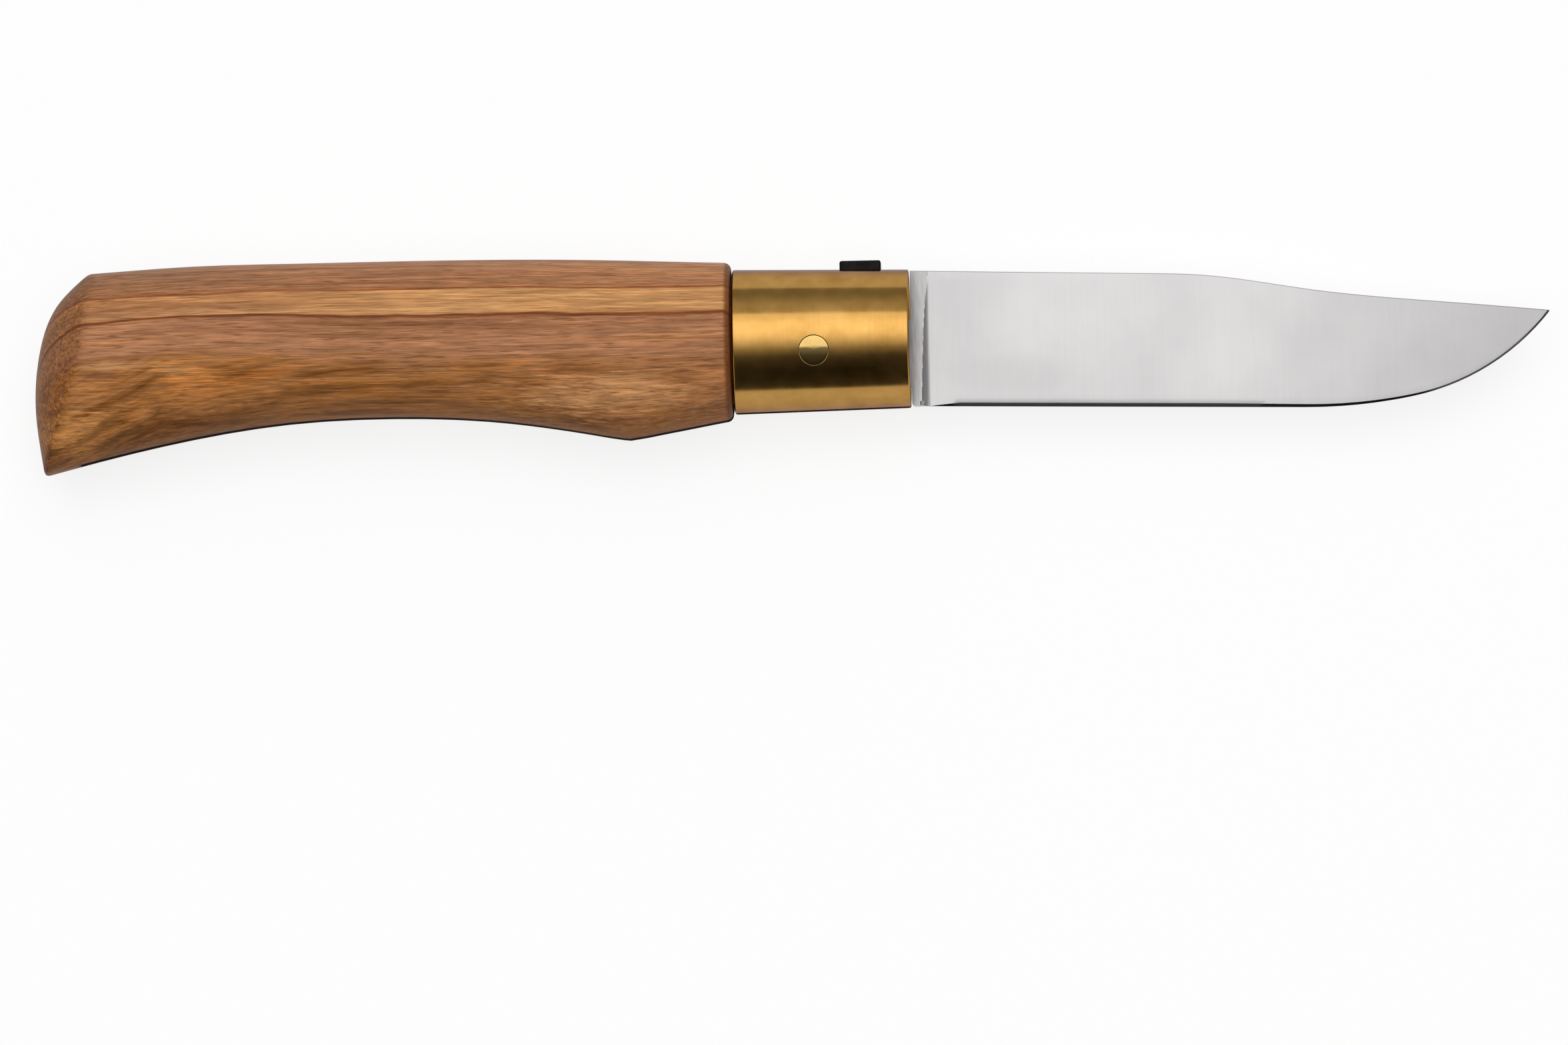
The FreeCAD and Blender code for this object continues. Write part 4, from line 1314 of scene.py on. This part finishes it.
# The colour is darker towards the point and in a faint patch.
tip_and_patch_dark = nodes.span(x, 62.0, 95.0, 0.0, 0.26)
dark_patch_x = nodes.over(nodes.minus(x, DARK_PATCH_PLACE[0]), DARK_PATCH_REACH[0])
dark_patch_y = nodes.over(nodes.minus(y, DARK_PATCH_PLACE[1]), DARK_PATCH_REACH[1])
dark_patch = nodes.plus(nodes.times(dark_patch_x, dark_patch_x), nodes.times(dark_patch_y, dark_patch_y))
tip_and_patch_dark = nodes.plus(tip_and_patch_dark, nodes.span(dark_patch, 1.0, 0.0, 0.0, 0.07, smooth=True))
colour = nodes.mix(tip_and_patch_dark, colour, TIP_AND_PATCH_TONE)
rolled_and_shade = nodes.noise(nodes.scaled(steel_place, 4.0, 0.4, 0.4), detail=3.0)
rolled_and_shade = nodes.span(rolled_and_shade, 0.35, 0.65, 0.24, 0.38)
# Painted shade: the rolled strip gets darker towards the collar.
rolled_and_shade = nodes.plus(rolled_and_shade, nodes.span(x, SHOULDER_X, HEEL_X, 0.24, 0.0))
colour = nodes.mix(nodes.times(unground, rolled_and_shade), colour, ROLLED_AND_SHADE_TONE)
# Painted reflection: the honed bevel's colour is made nearly black.
colour = nodes.mix(nodes.times(honed, 0.9), colour, BEVEL_PAINTED_DARK)
nodes.link(colour, shader.inputs["Base Color"])
gloss = nodes.plus(gloss, nodes.times(honed, nodes.minus(HONED_ROUGHNESS, gloss)))
nodes.link(gloss, shader.inputs["Roughness"])
print("blade_steel nodes with bevel, rolled strip and wear:", len(nodes.tree.nodes))

# %% [markdown]
# The tab is steel with a black oxide skin: nearly no colour and hardly any shine, a little
# greyer where a thumb has rubbed it. The scratches and the cloud come from the same group.

# %% Tab finish
OXIDE_TONE = grey(0.002)
RUBBED_TONE = (0.011, 0.010, 0.009)
nodes = Nodes(FINISHES["tab_black"].node_tree)
shader = shader_of("tab_black")
lines, cloud = brushed(nodes, (4.0, 4.0, 4.0), 0.9)
nodes.link(nodes.ramp(cloud, [(0.4, OXIDE_TONE), (0.7, RUBBED_TONE)]), shader.inputs["Base Color"])
nodes.link(nodes.span(lines, 0.3, 0.7, 0.45, 0.60), shader.inputs["Roughness"])
shader.inputs["Specular IOR Level"].default_value = 0.1
print("tab_black nodes:", len(nodes.tree.nodes))

# %% [markdown]
# The camera looks almost straight down on the knife, a little from the edge's side, through a long
# lens. Its place and aim are in millimetres.

# %% Camera
CAMERA_PLACE = Vector((35.0, -113.55, 1210.0))
CAMERA_AIM = Vector((-1.321, -20.755, 10.0))
CAMERA_ROLL = math.radians(-1.031)
camera_data = bpy.data.cameras.new("camera")
camera_data.lens = 220.682
camera_data.sensor_width = 36.0
camera_data.clip_end = 50.0
camera = bpy.data.objects.new("camera", camera_data)
bpy.context.scene.collection.objects.link(camera)
backward = (CAMERA_PLACE - CAMERA_AIM).normalized()
level_right = Vector(UP).cross(backward).normalized()
level_up = backward.cross(level_right)
right = level_right * math.cos(CAMERA_ROLL) + level_up * math.sin(CAMERA_ROLL)
upward = level_up * math.cos(CAMERA_ROLL) - level_right * math.sin(CAMERA_ROLL)
camera.matrix_world = Matrix((right, upward, backward)).transposed().to_4x4()
camera.location = CAMERA_PLACE * MM
bpy.context.scene.camera = camera
print("camera at", round((CAMERA_PLACE - CAMERA_AIM).length), "mm from its aim")

# %% [markdown]
# The studio is a soft box above and behind the knife and a dark room on the edge's side. Round brass
# mirrors the room as bands. Single lamps would show as spots in it, so the room is a world whose
# brightness is given by the angle from straight up, towards the spine's side or the edge's side. The
# soft box ends on the left and on the right, so what leans that way mirrors the dark.

# %% Studio room
ROOM_BANDS = (
    (-180, 0.9), (-92, 0.9), (-88, 0.08), (-66, 0.035), (-52, 0.027), (-38, 0.06), (-29, 0.12),
    (-18, 0.45), (-7, 1.2), (4, 2.0), (12, 2.3), (24, 2.35), (34, 1.95), (39.5, 1.9), (42, 0.78),
    (57, 0.68), (68, 0.45), (77, 0.34), (90, 0.34), (96, 0.9), (180, 0.9),
)
SOFT_BOX_FULL = 0.24
SOFT_BOX_END = 0.5
ROOM_DARK = 0.12
MIRRORED_DARK = 0.3
world = bpy.data.worlds.new("studio")
bpy.context.scene.world = world
world.use_nodes = True
world.node_tree.nodes.clear()
room = Nodes(world.node_tree)
x, y, z = room.split(room.add("ShaderNodeTexCoord").outputs["Generated"])
sideways = room.math("ABSOLUTE", x)
lean = room.math("ARCTAN2", y, z)
bands = [(degrees / 360 + 0.5, grey(value)) for degrees, value in ROOM_BANDS]
level = room.ramp(room.span(lean, -math.pi, math.pi), bands)
rays = room.add("ShaderNodeLightPath").outputs
mirrored = room.math("MAXIMUM", rays["Is Glossy Ray"], rays["Is Transmission Ray"])
inside = room.span(sideways, SOFT_BOX_FULL, SOFT_BOX_END, 1.0, 0.0, smooth=True)
level = room.mix(inside, room.mix(mirrored, grey(ROOM_DARK), grey(MIRRORED_DARK)), level)
print("bands in the room:", len(ROOM_BANDS))

# %% [markdown]
# Metal that is seen from another side mirrors another part of the room. There are white wings on both
# sides of the dark strip, and the wall behind the butt is grey, so that the blade doesn't turn black
# when it is seen from behind. Only mirrored rays see these, so they add no light to the wood. Seen
# straight on, the room is white.

# %% Wings and walls
BEHIND_LEVEL = 0.7
WING_LEVEL = 0.95
WING_STARTS = (0.22, 0.30)
WING_ENDS = (0.75, 0.6)
WING_LEANS = (math.radians(-20), math.radians(-34))
behind_butt = room.times(room.span(x, -0.7, -0.85), mirrored)
level = room.mix(behind_butt, level, grey(BEHIND_LEVEL))
wings = room.times(room.span(sideways, *WING_STARTS), room.span(sideways, *WING_ENDS))
wings = room.times(wings, room.span(lean, *WING_LEANS))
level = room.mix(room.times(wings, mirrored), level, grey(WING_LEVEL))
level = room.mix(rays["Is Camera Ray"], level, grey(1.0))
background = room.add("ShaderNodeBackground", Color=level)
room.add("ShaderNodeOutputWorld", Surface=background.outputs[0])
print("room nodes:", len(room.tree.nodes))

# %% [markdown]
# A large soft lamp overhead fills the shadows on the wood. The metal doesn't mirror it, because it
# would wash out the bands.

# %% Fill lamp
FILL_PLACE = Vector((0, 200, 1600))
fill_lamp = bpy.data.lights.new("fill", "AREA")
fill_lamp.shape = "SQUARE"
fill_lamp.size = 1.6
fill_lamp.energy = 15.5
fill = bpy.data.objects.new("fill", fill_lamp)
fill.location = FILL_PLACE * MM
fill.visible_camera = False
fill.visible_glossy = False
bpy.context.scene.collection.objects.link(fill)
print("fill lamp of", fill_lamp.energy, "W at", FILL_PLACE.z, "mm")

# %% [markdown]
# The floor is a plain white sheet. For the camera and for mirrors most of its tone is a glow, so that
# it comes out white without more light on the knife, and the rest still takes the shadow.

# %% Floor
FLOOR_HALF = 6.0
FLOOR_GLOW = 0.82
floor_mesh = bpy.data.meshes.new("floor")
corners = [(x * FLOOR_HALF, y * FLOOR_HALF, 0) for x, y in ((-1, -1), (1, -1), (1, 1), (-1, 1))]
floor_mesh.from_pydata(corners, [], [(0, 1, 2, 3)])
floor = bpy.data.objects.new("floor", floor_mesh)
bpy.context.scene.collection.objects.link(floor)
floor_paint = new_material("floor_paint")
floor_mesh.materials.append(floor_paint)
sheet = Nodes(floor_paint.node_tree)
floor_shader = floor_paint.node_tree.nodes["Principled BSDF"]
floor_shader.inputs["Base Color"].default_value = (*grey(0.95), 1)
floor_shader.inputs["Roughness"].default_value = 1.0
floor_shader.inputs["Specular IOR Level"].default_value = 0.0
rays = sheet.add("ShaderNodeLightPath").outputs
seen = sheet.math("MAXIMUM", rays["Is Camera Ray"], rays["Is Glossy Ray"])
seen = sheet.math("MAXIMUM", seen, rays["Is Transmission Ray"])
both = sheet.add("ShaderNodeMixShader")
sheet.link(sheet.times(seen, FLOOR_GLOW), both.inputs[0])
sheet.link(floor_shader.outputs[0], both.inputs[1])
sheet.link(sheet.add("ShaderNodeEmission").outputs[0], both.inputs[2])
sheet.link(both.outputs[0], floor_paint.node_tree.nodes["Material Output"].inputs["Surface"])
print("floor", 2 * FLOOR_HALF, "m wide")

# %% [markdown]
